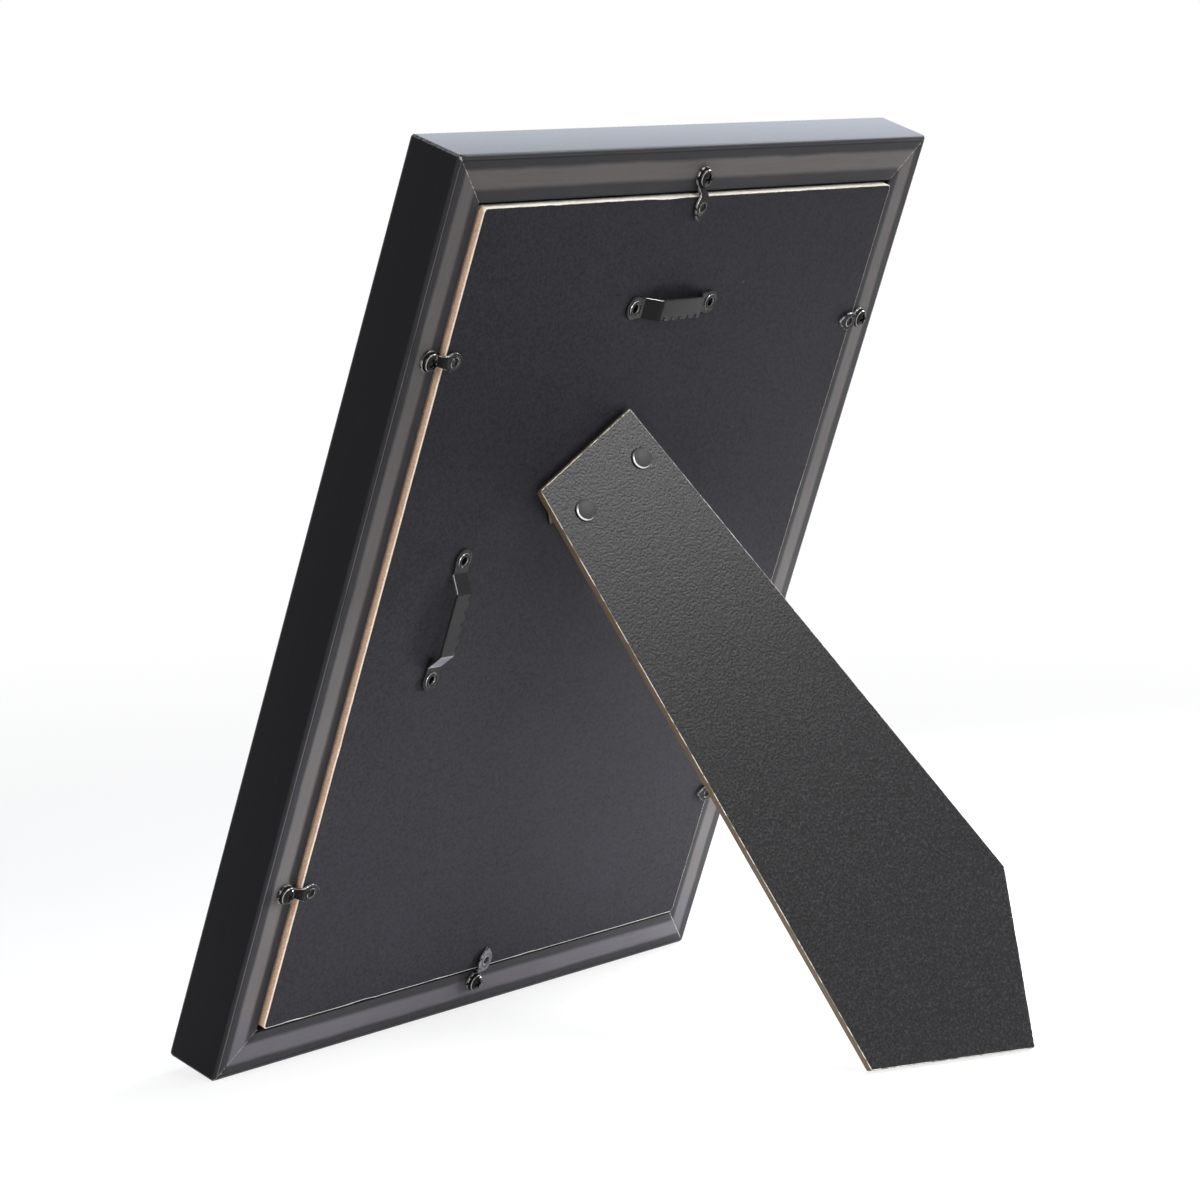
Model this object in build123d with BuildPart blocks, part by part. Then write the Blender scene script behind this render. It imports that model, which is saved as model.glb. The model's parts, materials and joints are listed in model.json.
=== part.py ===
from build123d import *
from math import atan, cos, radians, sin, tan
import os

# An easel back photo frame seen from behind, standing on its strut. Millimetres.
# World axes: +X to the left of the back view, +Y behind the frame, +Z up, floor at Z = 0.

# General fits
cut_overrun = 2.0        # how far a cut runs past the faces it opens
seat_gap = 0.05          # between a moving piece and the face it slides on
press_gap = 0.02         # radial room round a shank that is held fast
running_gap = 0.06       # radial room of a piece that turns on a pin or a screw

# Moulding
frame_width = 236.0
frame_height = 285.0
rail_depth = 18.5        # from the front face to the back face
rail_face = 20.2         # width of the moulding seen from the front
rail_back = 14.2         # width of the moulding behind, outside the rebate
back_edge_radius = 1.2   # outer edge at the back
front_edge_radius = 1.6  # outer edge at the front
sight_chamfer = 1.0      # inner edge at the front, round the picture
rebate_edge_radius = 0.4

# Contents of the rebate, from the front to the back
glazing_thickness = 2.0
insert_thickness = 0.3
filler_thickness = 4.0
board_thickness = 2.8
board_proud = 1.7        # how far the backing board stands out behind the moulding
contents_gap = 0.9       # room round the contents in the rebate

# Corner nails, one inside the other at each mitre
nail_sheet = 0.5
nail_leg = 4.5
nail_height = 7.0
nail_depth = 1.5         # cover over the nail at the back of the moulding
outer_nail_share = 0.30  # distance of each nail from the outer edges, of the rail's back width
inner_nail_share = 0.66

# Turn buttons and their screws
button_inset = 9.6       # screw axis from the outer edge of the moulding
side_button_end = 60.0   # side buttons from the top and bottom edges of the frame
button_sheet = 0.9
button_base_radius = 3.2
button_neck_half = 1.5
button_leaf_half = 2.8
button_tip_half = 0.7
button_step_start = 3.4  # the sheet steps up over the board between these two
button_step_end = 5.3
button_leaf_at = 8.6     # widest place of the leaf, with the dimple
button_reach = 12.8      # from the screw axis to the tip
dimple_depth = 0.4
dimple_radius = 1.7
dimple_slope = 0.35      # width of its sloping sides
dimple_sides = 8
screw_head_radius = 2.8
screw_top_radius = 1.9   # flat of the head, round the recess
screw_head_height = 1.9
screw_shank_radius = 1.4
screw_length = 10.0      # depth of the shank in the moulding
recess_length = 3.0
recess_width = 0.7
recess_depth = 0.9

# Sawtooth hangers and their eyelets
hanger_edge = 49.0       # hanger's line from the frame's edge that it hangs from
hanger_sheet = 0.8
hanger_eyes = 37.8       # eyelet to eyelet
hanger_tab_radius = 3.6
hanger_width = 6.4
hanger_foot_half = 14.6  # where the sheet leaves the board
hanger_bridge_half = 9.8
hanger_rise = 3.4        # room under the bridge for a nail
tooth_pitch = 4.0
tooth_depth = 1.3
tooth_count = 5
eyelet_bore_radius = 1.4
eyelet_wall = 0.4
eyelet_rim_radius = 2.5
eyelet_rim_height = 0.6

# Strut and its hinge, given for the strut folded against the back
strut_thickness = 2.8
strut_top_width = 40.8
strut_foot = 57.8        # edge that stands on the floor with the picture upright
strut_side_foot = 55.0   # edge that stands on the floor with the picture on its side
strut_setback = 23.2     # foot corner from the side edge of the frame
strut_opening = 45.0     # angle between the back and the open strut, in degrees
hinge_tilt = 34.3        # hinge line against the frame's bottom edge, in degrees
hinge_side = 20.4        # hinge from the frame's middle, to the left of the back view
hinge_drop = 51.1        # hinge below the top hanger's line
pin_above_board = 4.3    # hinge pin's axis over the board
pin_below_strut = 2.5    # hinge pin's axis under the strut's inner face
pin_radius = 1.1
hinge_sheet = 0.8
hinge_inset = 2.4        # bracket's ears inside the strut's side edges
ear_gap = 0.3            # between the ears of the bracket and of the leaf
bracket_ear_radius = 2.0
bracket_ear_foot = 6.0
bracket_up = 4.0         # base plate above and below the pin
bracket_down = 7.2
bracket_rivet_down = 4.4
bracket_rivet_end = 7.0  # rivets from the bracket's ends
leaf_ear_radius = 2.1
leaf_ear_root = 5.0
leaf_up = 3.0            # leaf above and below the pin, along the strut
leaf_down = 9.5
strut_rivet_edge = 7.5   # rivets from the strut's side edges, at its top
strut_rivet_drop = 13.3  # rivets from the strut's top edge
rivet_shank_radius = 1.6
rivet_head_radius = 3.3
rivet_head_height = 1.2
crown_radius_share = 0.48  # flat of a raised head, of its radius
bracket_head_radius = 2.5
bracket_head_height = 0.9

# Levels over the moulding's back face
board_front = board_proud - board_thickness
filler_front = board_front - filler_thickness
insert_front = filler_front - insert_thickness
rebate_floor = insert_front - glazing_thickness
pin_level = board_proud + pin_above_board

# The hinge hangs under the top hanger and follows the width of the strut's top
hinge_height = frame_height - hanger_edge - hinge_drop
pin_half = strut_top_width / 2 - hinge_inset
strut_rivet_half = strut_top_width / 2 - strut_rivet_edge
bracket_rivet_half = pin_half - bracket_rivet_end

# The frame leans so that the open strut's foot lies flat on the floor
lean = atan(cos(radians(hinge_tilt)) * tan(radians(strut_opening / 2)))
edge_rise = back_edge_radius * (cos(lean) + sin(lean) - 1)
front_edge_back = front_edge_radius * (cos(lean) + sin(lean) - 1)
foot_level = (pin_level - pin_below_strut) * tan(lean) + edge_rise / cos(lean)


def back_plane(along_y):
    """The moulding's back face: x to the right of the back view, y up the frame, z out of it."""
    return Plane(origin=(0, along_y, -edge_rise), x_dir=(-1, 0, 0), z_dir=(0, cos(lean), -sin(lean)))


def placed(plane, x, y, z, turn=0):
    """A plane at a point given in another plane, turned about its normal."""
    return Plane(plane.location * Location((x, y, z), (0, 0, turn)))


def strut_plane(plane):
    """The open strut: x along the hinge pin, y up the strut, z out of its outer face, pin at the origin."""
    folded = placed(plane, -hinge_side, hinge_height, pin_level, hinge_tilt)
    return Plane(folded.location * Location((0, 0, 0), (-strut_opening, 0, 0)))


def strut_point(x, y):
    """A point of the folded strut, from the back view into the strut's own plane."""
    return Vector(x + hinge_side, y - hinge_height, 0).rotate(Axis.Z, -hinge_tilt)


# The strut's outline. Its top edge bears on the board when the strut is open.
opening = radians(strut_opening)
strut_top = (pin_above_board - seat_gap + pin_below_strut * cos(opening)) / sin(opening)
foot_corner = frame_width / 2 - strut_setback
foot_tip = strut_point(foot_corner, foot_level)
foot_end = strut_point(foot_corner - strut_foot, foot_level)
side_foot_end = strut_point(foot_corner, foot_level + strut_side_foot)

# The origin lies under the middle of the whole stand
rough_back = back_plane(0)
foot_reach = Vector(foot_tip.X, foot_tip.Y, pin_below_strut + strut_thickness)
stand_back = strut_plane(rough_back).from_local_coords(foot_reach).Y
stand_front = front_edge_back - rail_depth * cos(lean)
back = back_plane(-(stand_front + stand_back) / 2)
strut_at_pin = strut_plane(back)

os.makedirs("parts", exist_ok=True)


def save(part, name):
    part.label = name
    export_step(part, f"parts/{name}.step")


# Places of the buttons: the local x axis runs from the screw to the tip
half_width = frame_width / 2
side_x = half_width - button_inset
upper_y = frame_height - side_button_end
button_places = {
    "turn_button_top": placed(back, 0, frame_height - button_inset, 0, -90),
    "turn_button_bottom": placed(back, 0, button_inset, 0, 90),
    "turn_button_left_upper": placed(back, -side_x, upper_y, 0),
    "turn_button_left_lower": placed(back, -side_x, side_button_end, 0),
    "turn_button_right_upper": placed(back, side_x, upper_y, 0, 180),
    "turn_button_right_lower": placed(back, side_x, side_button_end, 0, 180),
}
screw_places = list(button_places.values())

# Places of the rails: local x along the rail, y from the outer edge inwards
rail_places = {
    "bottom_rail": (placed(back, 0, 0, 0), frame_width),
    "top_rail": (placed(back, 0, frame_height, 0, 180), frame_width),
    "left_rail": (placed(back, -half_width, frame_height / 2, 0, -90), frame_height),
    "right_rail": (placed(back, half_width, frame_height / 2, 0, 90), frame_height),
}

# Places of the corners: local x and y along the two rails that meet there
corner_places = [
    placed(back, -half_width, 0, 0),
    placed(back, half_width, 0, 0, 90),
    placed(back, half_width, frame_height, 0, 180),
    placed(back, -half_width, frame_height, 0, -90),
]


# Corner nails: bent steel strips driven across each mitre, and the slots they fill
def nail_set(room):
    with BuildPart() as nails:
        for corner in corner_places:
            with BuildSketch(corner.offset(room - nail_depth)):
                for share in (outer_nail_share, inner_nail_share):
                    inset = rail_back * share
                    with BuildLine():
                        Polyline((inset + nail_leg, inset), (inset, inset), (inset, inset + nail_leg))
                        offset(amount=nail_sheet, side=Side.LEFT, kind=Kind.INTERSECTION)
                    make_face()
                if room > 0:
                    offset(amount=room, kind=Kind.INTERSECTION)
            extrude(amount=-(nail_height + 2 * room))
    return nails.part


save(nail_set(0), "corner_nails")
nail_slots = nail_set(press_gap)


# Moulding: four mitred lengths with a rebate
def make_rail(place, length):
    across = Plane(origin=place.origin, x_dir=place.y_dir, z_dir=place.x_dir)
    with BuildPart() as rail:
        with BuildSketch(across) as section:
            with BuildLine():
                Polyline(
                    (0, 0),
                    (rail_back, 0),
                    (rail_back, rebate_floor),
                    (rail_face, rebate_floor),
                    (rail_face, -rail_depth),
                    (0, -rail_depth),
                    close=True,
                )
            make_face()
            fillet(section.vertices().sort_by_distance((0, 0))[0], back_edge_radius)
            fillet(section.vertices().sort_by_distance((0, -rail_depth))[0], front_edge_radius)
            fillet(section.vertices().sort_by_distance((rail_back, 0))[0], rebate_edge_radius)
            chamfer(section.vertices().sort_by_distance((rail_face, -rail_depth))[0], sight_chamfer)
        extrude(amount=length / 2, both=True)
        for end in (-1, 1):
            mitre = placed(place, end * length / 2, 0, 0)
            outward = mitre.x_dir * end + mitre.y_dir
            split(bisect_by=Plane(origin=mitre.origin, z_dir=outward), keep=Keep.BOTTOM)
        add(nail_slots, mode=Mode.SUBTRACT)
        with Locations(*screw_places):
            Hole(screw_shank_radius + press_gap, depth=screw_length)
    return rail.part


for rail_name, (rail_place, rail_length) in rail_places.items():
    save(make_rail(rail_place, rail_length), rail_name)

# Hangers: places over the board, teeth towards local -y
hanger_places = {
    "top_hanger": placed(back, 0, frame_height - hanger_edge, board_proud),
    "side_hanger": placed(back, hanger_edge - half_width, frame_height / 2, board_proud, 90),
}
eye_half = hanger_eyes / 2
eyelet_radius = eyelet_bore_radius + eyelet_wall
eyelet_places = [
    placed(place, side * eye_half, 0, 0) for place in hanger_places.values() for side in (-1, 1)
]

# Hinge bracket's place on the board: local x along the hinge, y up the folded strut
bracket_place = placed(back, -hinge_side, hinge_height, board_proud, hinge_tilt)
bracket_rivet_places = [
    placed(bracket_place, side * bracket_rivet_half, -bracket_rivet_down, 0) for side in (-1, 1)
]

# Glazing, insert sheet, filler and backing board, stacked in the rebate
contents_width = frame_width - 2 * (rail_back + contents_gap)
contents_height = frame_height - 2 * (rail_back + contents_gap)


def make_layer(front_level, thickness):
    with BuildPart() as layer:
        with BuildSketch(back.offset(front_level)):
            with Locations((0, frame_height / 2)):
                Rectangle(contents_width, contents_height)
        extrude(amount=thickness)
    return layer.part


save(make_layer(rebate_floor, glazing_thickness), "glazing")
save(make_layer(insert_front, insert_thickness), "insert_sheet")
save(make_layer(filler_front, filler_thickness), "filler_card")

# The board is drilled for the eyelets and the bracket's rivets, which end flush with its front
with BuildPart() as board:
    add(make_layer(board_front, board_thickness))
    with Locations(*eyelet_places):
        Hole(eyelet_radius + press_gap, depth=board_thickness)
    with Locations(*bracket_rivet_places):
        Hole(rivet_shank_radius + press_gap, depth=board_thickness)
save(board.part, "backing_board")


# Sawtooth hangers: one bent strip each, with a toothed lower edge
def make_hanger(place):
    side_view = Plane(origin=place.origin, x_dir=place.x_dir, z_dir=-place.y_dir)
    tab_end = eye_half + hanger_tab_radius
    with BuildPart() as hanger:
        with BuildSketch(side_view):
            with BuildLine():
                Polyline(
                    (-tab_end, 0),
                    (-hanger_foot_half, 0),
                    (-hanger_bridge_half, hanger_rise),
                    (hanger_bridge_half, hanger_rise),
                    (hanger_foot_half, 0),
                    (tab_end, 0),
                )
                offset(amount=hanger_sheet, side=Side.LEFT, kind=Kind.INTERSECTION)
            make_face()
        extrude(amount=hanger_tab_radius, both=True)
        with BuildSketch(place):
            Rectangle(hanger_eyes, hanger_width)
            with Locations((-eye_half, 0), (eye_half, 0)):
                Circle(hanger_tab_radius)
                Circle(eyelet_radius + press_gap, mode=Mode.SUBTRACT)
            with Locations((0, -hanger_width / 2)):
                with GridLocations(tooth_pitch, 0, tooth_count, 1):
                    Rectangle(tooth_depth * 2**0.5, tooth_depth * 2**0.5, rotation=45, mode=Mode.SUBTRACT)
        extrude(amount=hanger_rise + hanger_sheet + cut_overrun, mode=Mode.INTERSECT)
    return hanger.part


for hanger_name, hanger_place in hanger_places.items():
    save(make_hanger(hanger_place), hanger_name)

# Eyelets: hollow, with a rim that slopes up from the hanger to the bore
with BuildPart() as eyelet:
    with BuildSketch(Plane.XZ):
        with BuildLine():
            Polyline(
                (eyelet_bore_radius, hanger_sheet + eyelet_rim_height),
                (eyelet_bore_radius, -board_thickness),
                (eyelet_radius, -board_thickness),
                (eyelet_radius, hanger_sheet),
                (eyelet_rim_radius, hanger_sheet),
                close=True,
            )
        make_face()
    revolve(axis=Axis.Z)
with BuildPart() as eyelets:
    with Locations(*eyelet_places):
        add(eyelet.part)
save(eyelets.part, "hanger_eyelets")

# A dimple's cup: the same shape stands out under the leaf and is sunk into its top
with BuildPart() as dimple:
    with BuildSketch():
        RegularPolygon(dimple_radius, dimple_sides)
    extrude(amount=-dimple_depth)
    chamfer(dimple.edges().group_by(Axis.Z)[0], dimple_slope)

# Turn button: a stepped leaf with a dimple that presses on the board
base_level = seat_gap
leaf_level = board_proud + seat_gap + dimple_depth
tip_centre = button_reach - button_tip_half
with BuildPart() as turn_button:
    with BuildSketch(Plane.XZ):
        with BuildLine():
            Polyline(
                (-button_base_radius, base_level),
                (button_step_start, base_level),
                (button_step_end, leaf_level),
                (button_reach, leaf_level),
            )
            offset(amount=button_sheet, side=Side.LEFT, kind=Kind.INTERSECTION)
        make_face()
    extrude(amount=button_base_radius, both=True)
    with BuildSketch():
        with Locations((button_step_start, 0)):
            Circle(button_neck_half)
        with Locations((button_leaf_at, 0)):
            Circle(button_leaf_half)
        with Locations((tip_centre, 0)):
            Circle(button_tip_half)
        make_hull()
        Circle(button_base_radius)
        Circle(screw_shank_radius + running_gap, mode=Mode.SUBTRACT)
    extrude(amount=leaf_level + button_sheet + cut_overrun, mode=Mode.INTERSECT)
    with Locations((button_leaf_at, 0, leaf_level)):
        add(dimple.part)
    with Locations((button_leaf_at, 0, leaf_level + button_sheet)):
        add(dimple.part, mode=Mode.SUBTRACT)
for button_name, button_place in button_places.items():
    with BuildPart() as button:
        with Locations(button_place):
            add(turn_button.part)
    save(button.part, button_name)

# Button screws: raised heads with a cross recess
head_level = base_level + button_sheet + seat_gap
head_top = head_level + screw_head_height
with BuildPart() as screw:
    with BuildSketch(Plane.XZ):
        with BuildLine():
            Polyline(
                (0, head_top),
                (screw_top_radius, head_top),
                (screw_head_radius, head_level),
                (screw_shank_radius, head_level),
                (screw_shank_radius, -screw_length),
                (0, -screw_length),
                close=True,
            )
        make_face()
    revolve(axis=Axis.Z)
    with BuildSketch(Plane.XY.offset(head_top)):
        Rectangle(recess_length, recess_width)
        Rectangle(recess_width, recess_length)
    extrude(amount=-recess_depth, mode=Mode.SUBTRACT)
with BuildPart() as screws:
    with Locations(*screw_places):
        add(screw.part)
save(screws.part, "button_screws")

# Hinge bracket: a base plate on the board with an ear at each end for the pin
with BuildPart() as bracket:
    with BuildSketch(bracket_place):
        with Locations((0, (bracket_up - bracket_down) / 2)):
            Rectangle(2 * pin_half, bracket_up + bracket_down)
        with Locations((-bracket_rivet_half, -bracket_rivet_down), (bracket_rivet_half, -bracket_rivet_down)):
            Circle(rivet_shank_radius + press_gap, mode=Mode.SUBTRACT)
    extrude(amount=hinge_sheet)
    for side in (-1, 1):
        ear_end = placed(bracket_place, side * pin_half, 0, 0)
        ear = Plane(origin=ear_end.origin, x_dir=ear_end.y_dir, z_dir=ear_end.x_dir)
        with BuildSketch(ear):
            with Locations((0, pin_above_board)):
                Circle(bracket_ear_radius)
            with Locations((0, hinge_sheet)):
                Rectangle(bracket_ear_foot, hinge_sheet, align=(Align.CENTER, Align.MAX))
            make_hull()
            with Locations((0, pin_above_board)):
                Circle(pin_radius + press_gap, mode=Mode.SUBTRACT)
        extrude(amount=-side * hinge_sheet)
save(bracket.part, "hinge_bracket")

# Bracket rivets: low heads over the base plate
with BuildPart() as bracket_rivet:
    with BuildSketch(Plane.XZ):
        with BuildLine():
            Polyline(
                (0, hinge_sheet + bracket_head_height),
                (bracket_head_radius * crown_radius_share, hinge_sheet + bracket_head_height),
                (bracket_head_radius, hinge_sheet),
                (rivet_shank_radius, hinge_sheet),
                (rivet_shank_radius, -board_thickness),
                (0, -board_thickness),
                close=True,
            )
        make_face()
    revolve(axis=Axis.Z)
with BuildPart() as bracket_rivets:
    with Locations(*bracket_rivet_places):
        add(bracket_rivet.part)
save(bracket_rivets.part, "bracket_rivets")

# Hinge pin: a wire held in the bracket's ears, flush with them
pin_axis = Plane(origin=strut_at_pin.origin, x_dir=strut_at_pin.y_dir, z_dir=strut_at_pin.x_dir)
with BuildPart() as pin:
    with BuildSketch(pin_axis):
        Circle(pin_radius)
    extrude(amount=pin_half, both=True)
save(pin.part, "hinge_pin")

# Strut: a board with a square foot corner, so that either foot edge can stand on the floor
strut_rivet_y = strut_top - strut_rivet_drop
strut_face = strut_at_pin.offset(pin_below_strut)
rivet_spots = [(-strut_rivet_half, strut_rivet_y), (strut_rivet_half, strut_rivet_y)]
with BuildPart() as strut:
    with BuildSketch(strut_face):
        with BuildLine():
            Polyline(
                (-strut_top_width / 2, strut_top),
                (strut_top_width / 2, strut_top),
                (side_foot_end.X, side_foot_end.Y),
                (foot_tip.X, foot_tip.Y),
                (foot_end.X, foot_end.Y),
                close=True,
            )
        make_face()
        with Locations(*rivet_spots):
            Circle(rivet_shank_radius + press_gap, mode=Mode.SUBTRACT)
    extrude(amount=strut_thickness)
save(strut.part, "strut_board")

# Hinge leaf: a plate under the strut with an ear at each end that turns on the pin
leaf_half = pin_half - hinge_sheet - ear_gap
with BuildPart() as leaf:
    with BuildSketch(strut_face):
        with Locations((0, (leaf_up - leaf_down) / 2)):
            Rectangle(2 * leaf_half, leaf_up + leaf_down)
        with Locations(*rivet_spots):
            Circle(rivet_shank_radius + press_gap, mode=Mode.SUBTRACT)
    extrude(amount=-hinge_sheet)
    for side in (-1, 1):
        with BuildSketch(pin_axis.offset(side * leaf_half)):
            Circle(leaf_ear_radius)
            with Locations((0, -pin_below_strut)):
                Rectangle(leaf_ear_root, hinge_sheet, align=(Align.CENTER, Align.MIN))
            make_hull()
            Circle(pin_radius + running_gap, mode=Mode.SUBTRACT)
        extrude(amount=-side * hinge_sheet)
save(leaf.part, "hinge_leaf")

# Strut rivets: raised heads on the strut's outer face, flush with the leaf under it
with BuildPart() as strut_rivet:
    with BuildSketch(Plane.XZ):
        with BuildLine():
            Polyline(
                (0, strut_thickness + rivet_head_height),
                (rivet_head_radius * crown_radius_share, strut_thickness + rivet_head_height),
                (rivet_head_radius, strut_thickness),
                (rivet_shank_radius, strut_thickness),
                (rivet_shank_radius, -hinge_sheet),
                (0, -hinge_sheet),
                close=True,
            )
        make_face()
    revolve(axis=Axis.Z)
with BuildPart() as strut_rivets:
    with Locations(*[placed(strut_face, x, y, 0) for x, y in rivet_spots]):
        add(strut_rivet.part)
save(strut_rivets.part, "strut_rivets")
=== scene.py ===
import json
import random
from math import asin, cos, hypot, pi, radians, sin

import bmesh
import bpy
from mathutils import Matrix, Vector, noise


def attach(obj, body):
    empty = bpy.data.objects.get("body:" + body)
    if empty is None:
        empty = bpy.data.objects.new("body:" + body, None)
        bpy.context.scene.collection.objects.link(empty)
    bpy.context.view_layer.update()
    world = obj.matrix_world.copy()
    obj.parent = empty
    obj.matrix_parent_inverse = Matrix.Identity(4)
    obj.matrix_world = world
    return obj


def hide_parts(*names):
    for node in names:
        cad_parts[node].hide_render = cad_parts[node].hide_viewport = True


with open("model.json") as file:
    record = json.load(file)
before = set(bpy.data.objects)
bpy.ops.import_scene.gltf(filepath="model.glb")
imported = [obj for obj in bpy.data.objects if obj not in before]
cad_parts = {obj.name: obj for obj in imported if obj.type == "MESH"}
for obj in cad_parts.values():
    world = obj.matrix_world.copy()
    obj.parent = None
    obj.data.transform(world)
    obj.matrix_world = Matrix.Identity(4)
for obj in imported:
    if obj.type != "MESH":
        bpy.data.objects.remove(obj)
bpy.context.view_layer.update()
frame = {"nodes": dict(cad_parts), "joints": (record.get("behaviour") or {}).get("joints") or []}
mm = 0.001
scene = bpy.context.scene
scene.view_settings.view_transform = "Standard"
joints = {joint["name"]: joint for joint in frame["joints"]}


# Directions of the leaning back and of the open strut, read from the joints
def jointPlace(name):
    return Vector(joints[name]["pos_m"])


def placeMatrix(origin, along, up, out):
    turn = Matrix((along, up, out)).transposed().to_4x4()
    return Matrix.Translation(origin) @ turn


def within(matrix, x, y, z, spin=0):
    return matrix @ Matrix.Translation((x * mm, y * mm, z * mm)) @ Matrix.Rotation(spin, 4, "Z")


stand = {
    "width": 236.0,
    "height": 285.0,
    "buttonInset": 9.6,
    "boardProud": 1.7,
    "opening": radians(45),
}
backOut = Vector(joints["turn_top"]["axis"]).normalized()
backUp = (jointPlace("turn_top") - jointPlace("turn_bottom")).normalized()
backRight = backUp.cross(backOut)
backOrigin = jointPlace("turn_bottom") - backUp * stand["buttonInset"] * mm
backPlace = placeMatrix(backOrigin, backRight, backUp, backOut)

pinAlong = Vector(joints["strut_fold"]["axis"]).normalized()
foldedUp = backOut.cross(pinAlong)
strutOut = foldedUp * sin(stand["opening"]) + backOut * cos(stand["opening"])
strutUp = foldedUp * cos(stand["opening"]) - backOut * sin(stand["opening"])
strutPlace = placeMatrix(jointPlace("strut_fold"), pinAlong, strutUp, strutOut)


# Shader and geometry trees: sums written on sockets become Math nodes
class Wire:
    def __init__(self, desk, socket):
        self.desk = desk
        self.socket = socket

    def math(self, operation, *others):
        return self.desk.node("ShaderNodeMath", {"operation": operation}, [self, *others])

    def __add__(self, other):
        return self.math("ADD", other)

    def __sub__(self, other):
        return self.math("SUBTRACT", other)

    def __rsub__(self, other):
        return self.desk.node("ShaderNodeMath", {"operation": "SUBTRACT"}, [other, self])

    def __mul__(self, other):
        return self.math("MULTIPLY", other)

    __radd__ = __add__
    __rmul__ = __mul__

    def __abs__(self):
        return self.math("ABSOLUTE")

    def least(self, other):
        return self.math("MINIMUM", other)

    def most(self, other):
        return self.math("MAXIMUM", other)

    def below(self, other):
        return self.math("LESS_THAN", other)

    def rise(self, low, high):
        settings = {"interpolation_type": "SMOOTHSTEP"}
        inputs = {"Value": self, "From Min": low, "From Max": high}
        return self.desk.node("ShaderNodeMapRange", settings, inputs)

    def parts(self):
        split = self.desk.node("ShaderNodeSeparateXYZ", {}, [self], out=None)
        return [Wire(self.desk, socket) for socket in split.outputs]


class NodeDesk:
    def __init__(self, tree):
        self.tree = tree

    def node(self, kind, settings=None, inputs=(), out=0):
        made = self.tree.nodes.new(kind)
        for name, value in (settings or {}).items():
            if name == "curve":
                self.setCurve(made.mapping, value)
            else:
                setattr(made, name, value)
        pairs = inputs.items() if isinstance(inputs, dict) else enumerate(inputs)
        for name, value in pairs:
            if isinstance(value, Wire):
                self.tree.links.new(value.socket, made.inputs[name])
            else:
                made.inputs[name].default_value = value
        return made if out is None else Wire(self, made.outputs[out])

    @staticmethod
    def setCurve(mapping, points):
        curve = mapping.curves[0]
        while len(curve.points) < len(points):
            curve.points.new(0.5, 0.5)
        for point, (x, y) in zip(curve.points, points):
            point.location = (x, y)
            point.handle_type = "VECTOR"
        mapping.update()

    def colourMix(self, share, first, second):
        pair = [(*c, 1.0) if isinstance(c, tuple) else c for c in (first, second)]
        settings = {"data_type": "RGBA", "clamp_factor": True}
        return self.node("ShaderNodeMix", settings, {0: share, 6: pair[0], 7: pair[1]}, out=2)


class Finish(NodeDesk):
    sockets = {
        "tone": "Base Color",
        "rough": "Roughness",
        "metal": "Metallic",
        "gloss": "Specular IOR Level",
        "alpha": "Alpha",
        "normal": "Normal",
    }

    def __init__(self, name, **constants):
        self.material = bpy.data.materials.new(name)
        self.material.use_nodes = True
        super().__init__(self.material.node_tree)
        self.shader = self.tree.nodes["Principled BSDF"]
        self.set(**constants)

    def set(self, **values):
        for name, value in values.items():
            socket = self.shader.inputs[self.sockets[name]]
            if isinstance(value, Wire):
                self.tree.links.new(value.socket, socket)
            else:
                socket.default_value = (*value, 1.0) if isinstance(value, tuple) else value

    def local(self, matrix):
        objectSpace = self.node("ShaderNodeTexCoord", out="Object")
        turn = matrix.to_3x3().transposed()
        start = turn @ matrix.translation / mm
        settings = {"vector_type": "POINT"}
        size = (1 / mm, 1 / mm, 1 / mm)
        inputs = {"Vector": objectSpace, "Location": -start, "Rotation": turn.to_euler(), "Scale": size}
        return self.node("ShaderNodeMapping", settings, inputs)

    def stretched(self, vector, x, y, z):
        return self.node("ShaderNodeVectorMath", {"operation": "MULTIPLY"}, [vector, (x, y, z)])

    def grain(self, vector, scale, detail=4.0, rough=0.55):
        inputs = {"Vector": vector, "Scale": scale, "Detail": detail, "Roughness": rough}
        return self.node("ShaderNodeTexNoise", {"normalize": True}, inputs)

    def cells(self, vector, scale):
        return self.node("ShaderNodeTexVoronoi", {}, {"Vector": vector, "Scale": scale})

    def attribute(self, name):
        return self.node("ShaderNodeAttribute", {"attribute_name": name}, out="Fac")

    def bump(self, height, depth, strength):
        inputs = {"Strength": strength, "Distance": depth * mm, "Height": height}
        self.set(normal=self.node("ShaderNodeBump", {}, inputs))


def scaledTone(tone, share):
    return tuple(c * share for c in tone)


# Pieces are drawn in millimetres in their own place, then set into the row frame
def makePiece(name, shape, place, finish, sharpAngle=35):
    shape.transform(place @ Matrix.Scale(mm, 4))
    mesh = bpy.data.meshes.new(name)
    shape.to_mesh(mesh)
    shape.free()
    mesh.polygons.foreach_set("use_smooth", [True] * len(mesh.polygons))
    if sharpAngle:
        mesh.set_sharp_from_angle(angle=radians(sharpAngle))
    mesh.materials.append(finish.material)
    piece = bpy.data.objects.new(name, mesh)
    scene.collection.objects.link(piece)
    return piece


def settle(piece, body, slot, *nodes):
    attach(piece, body)
    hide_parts(*nodes)


def roundedCorner(corner, before, after, radius, steps):
    corner, before, after = Vector(corner), Vector(before), Vector(after)
    toBefore = (before - corner).normalized()
    toAfter = (after - corner).normalized()
    half = toBefore.angle(toAfter) / 2
    reach = radius * cos(half) / sin(half)
    centre = corner + (toBefore + toAfter).normalized() * radius / sin(half)
    first = corner + toBefore * reach - centre
    turn = first.angle_signed(corner + toAfter * reach - centre)
    points = []
    for step in range(steps + 1):
        angle = -turn * step / steps
        x = first.x * cos(angle) - first.y * sin(angle)
        y = first.x * sin(angle) + first.y * cos(angle)
        points.append(centre + Vector((x, y)))
    return points


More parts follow.
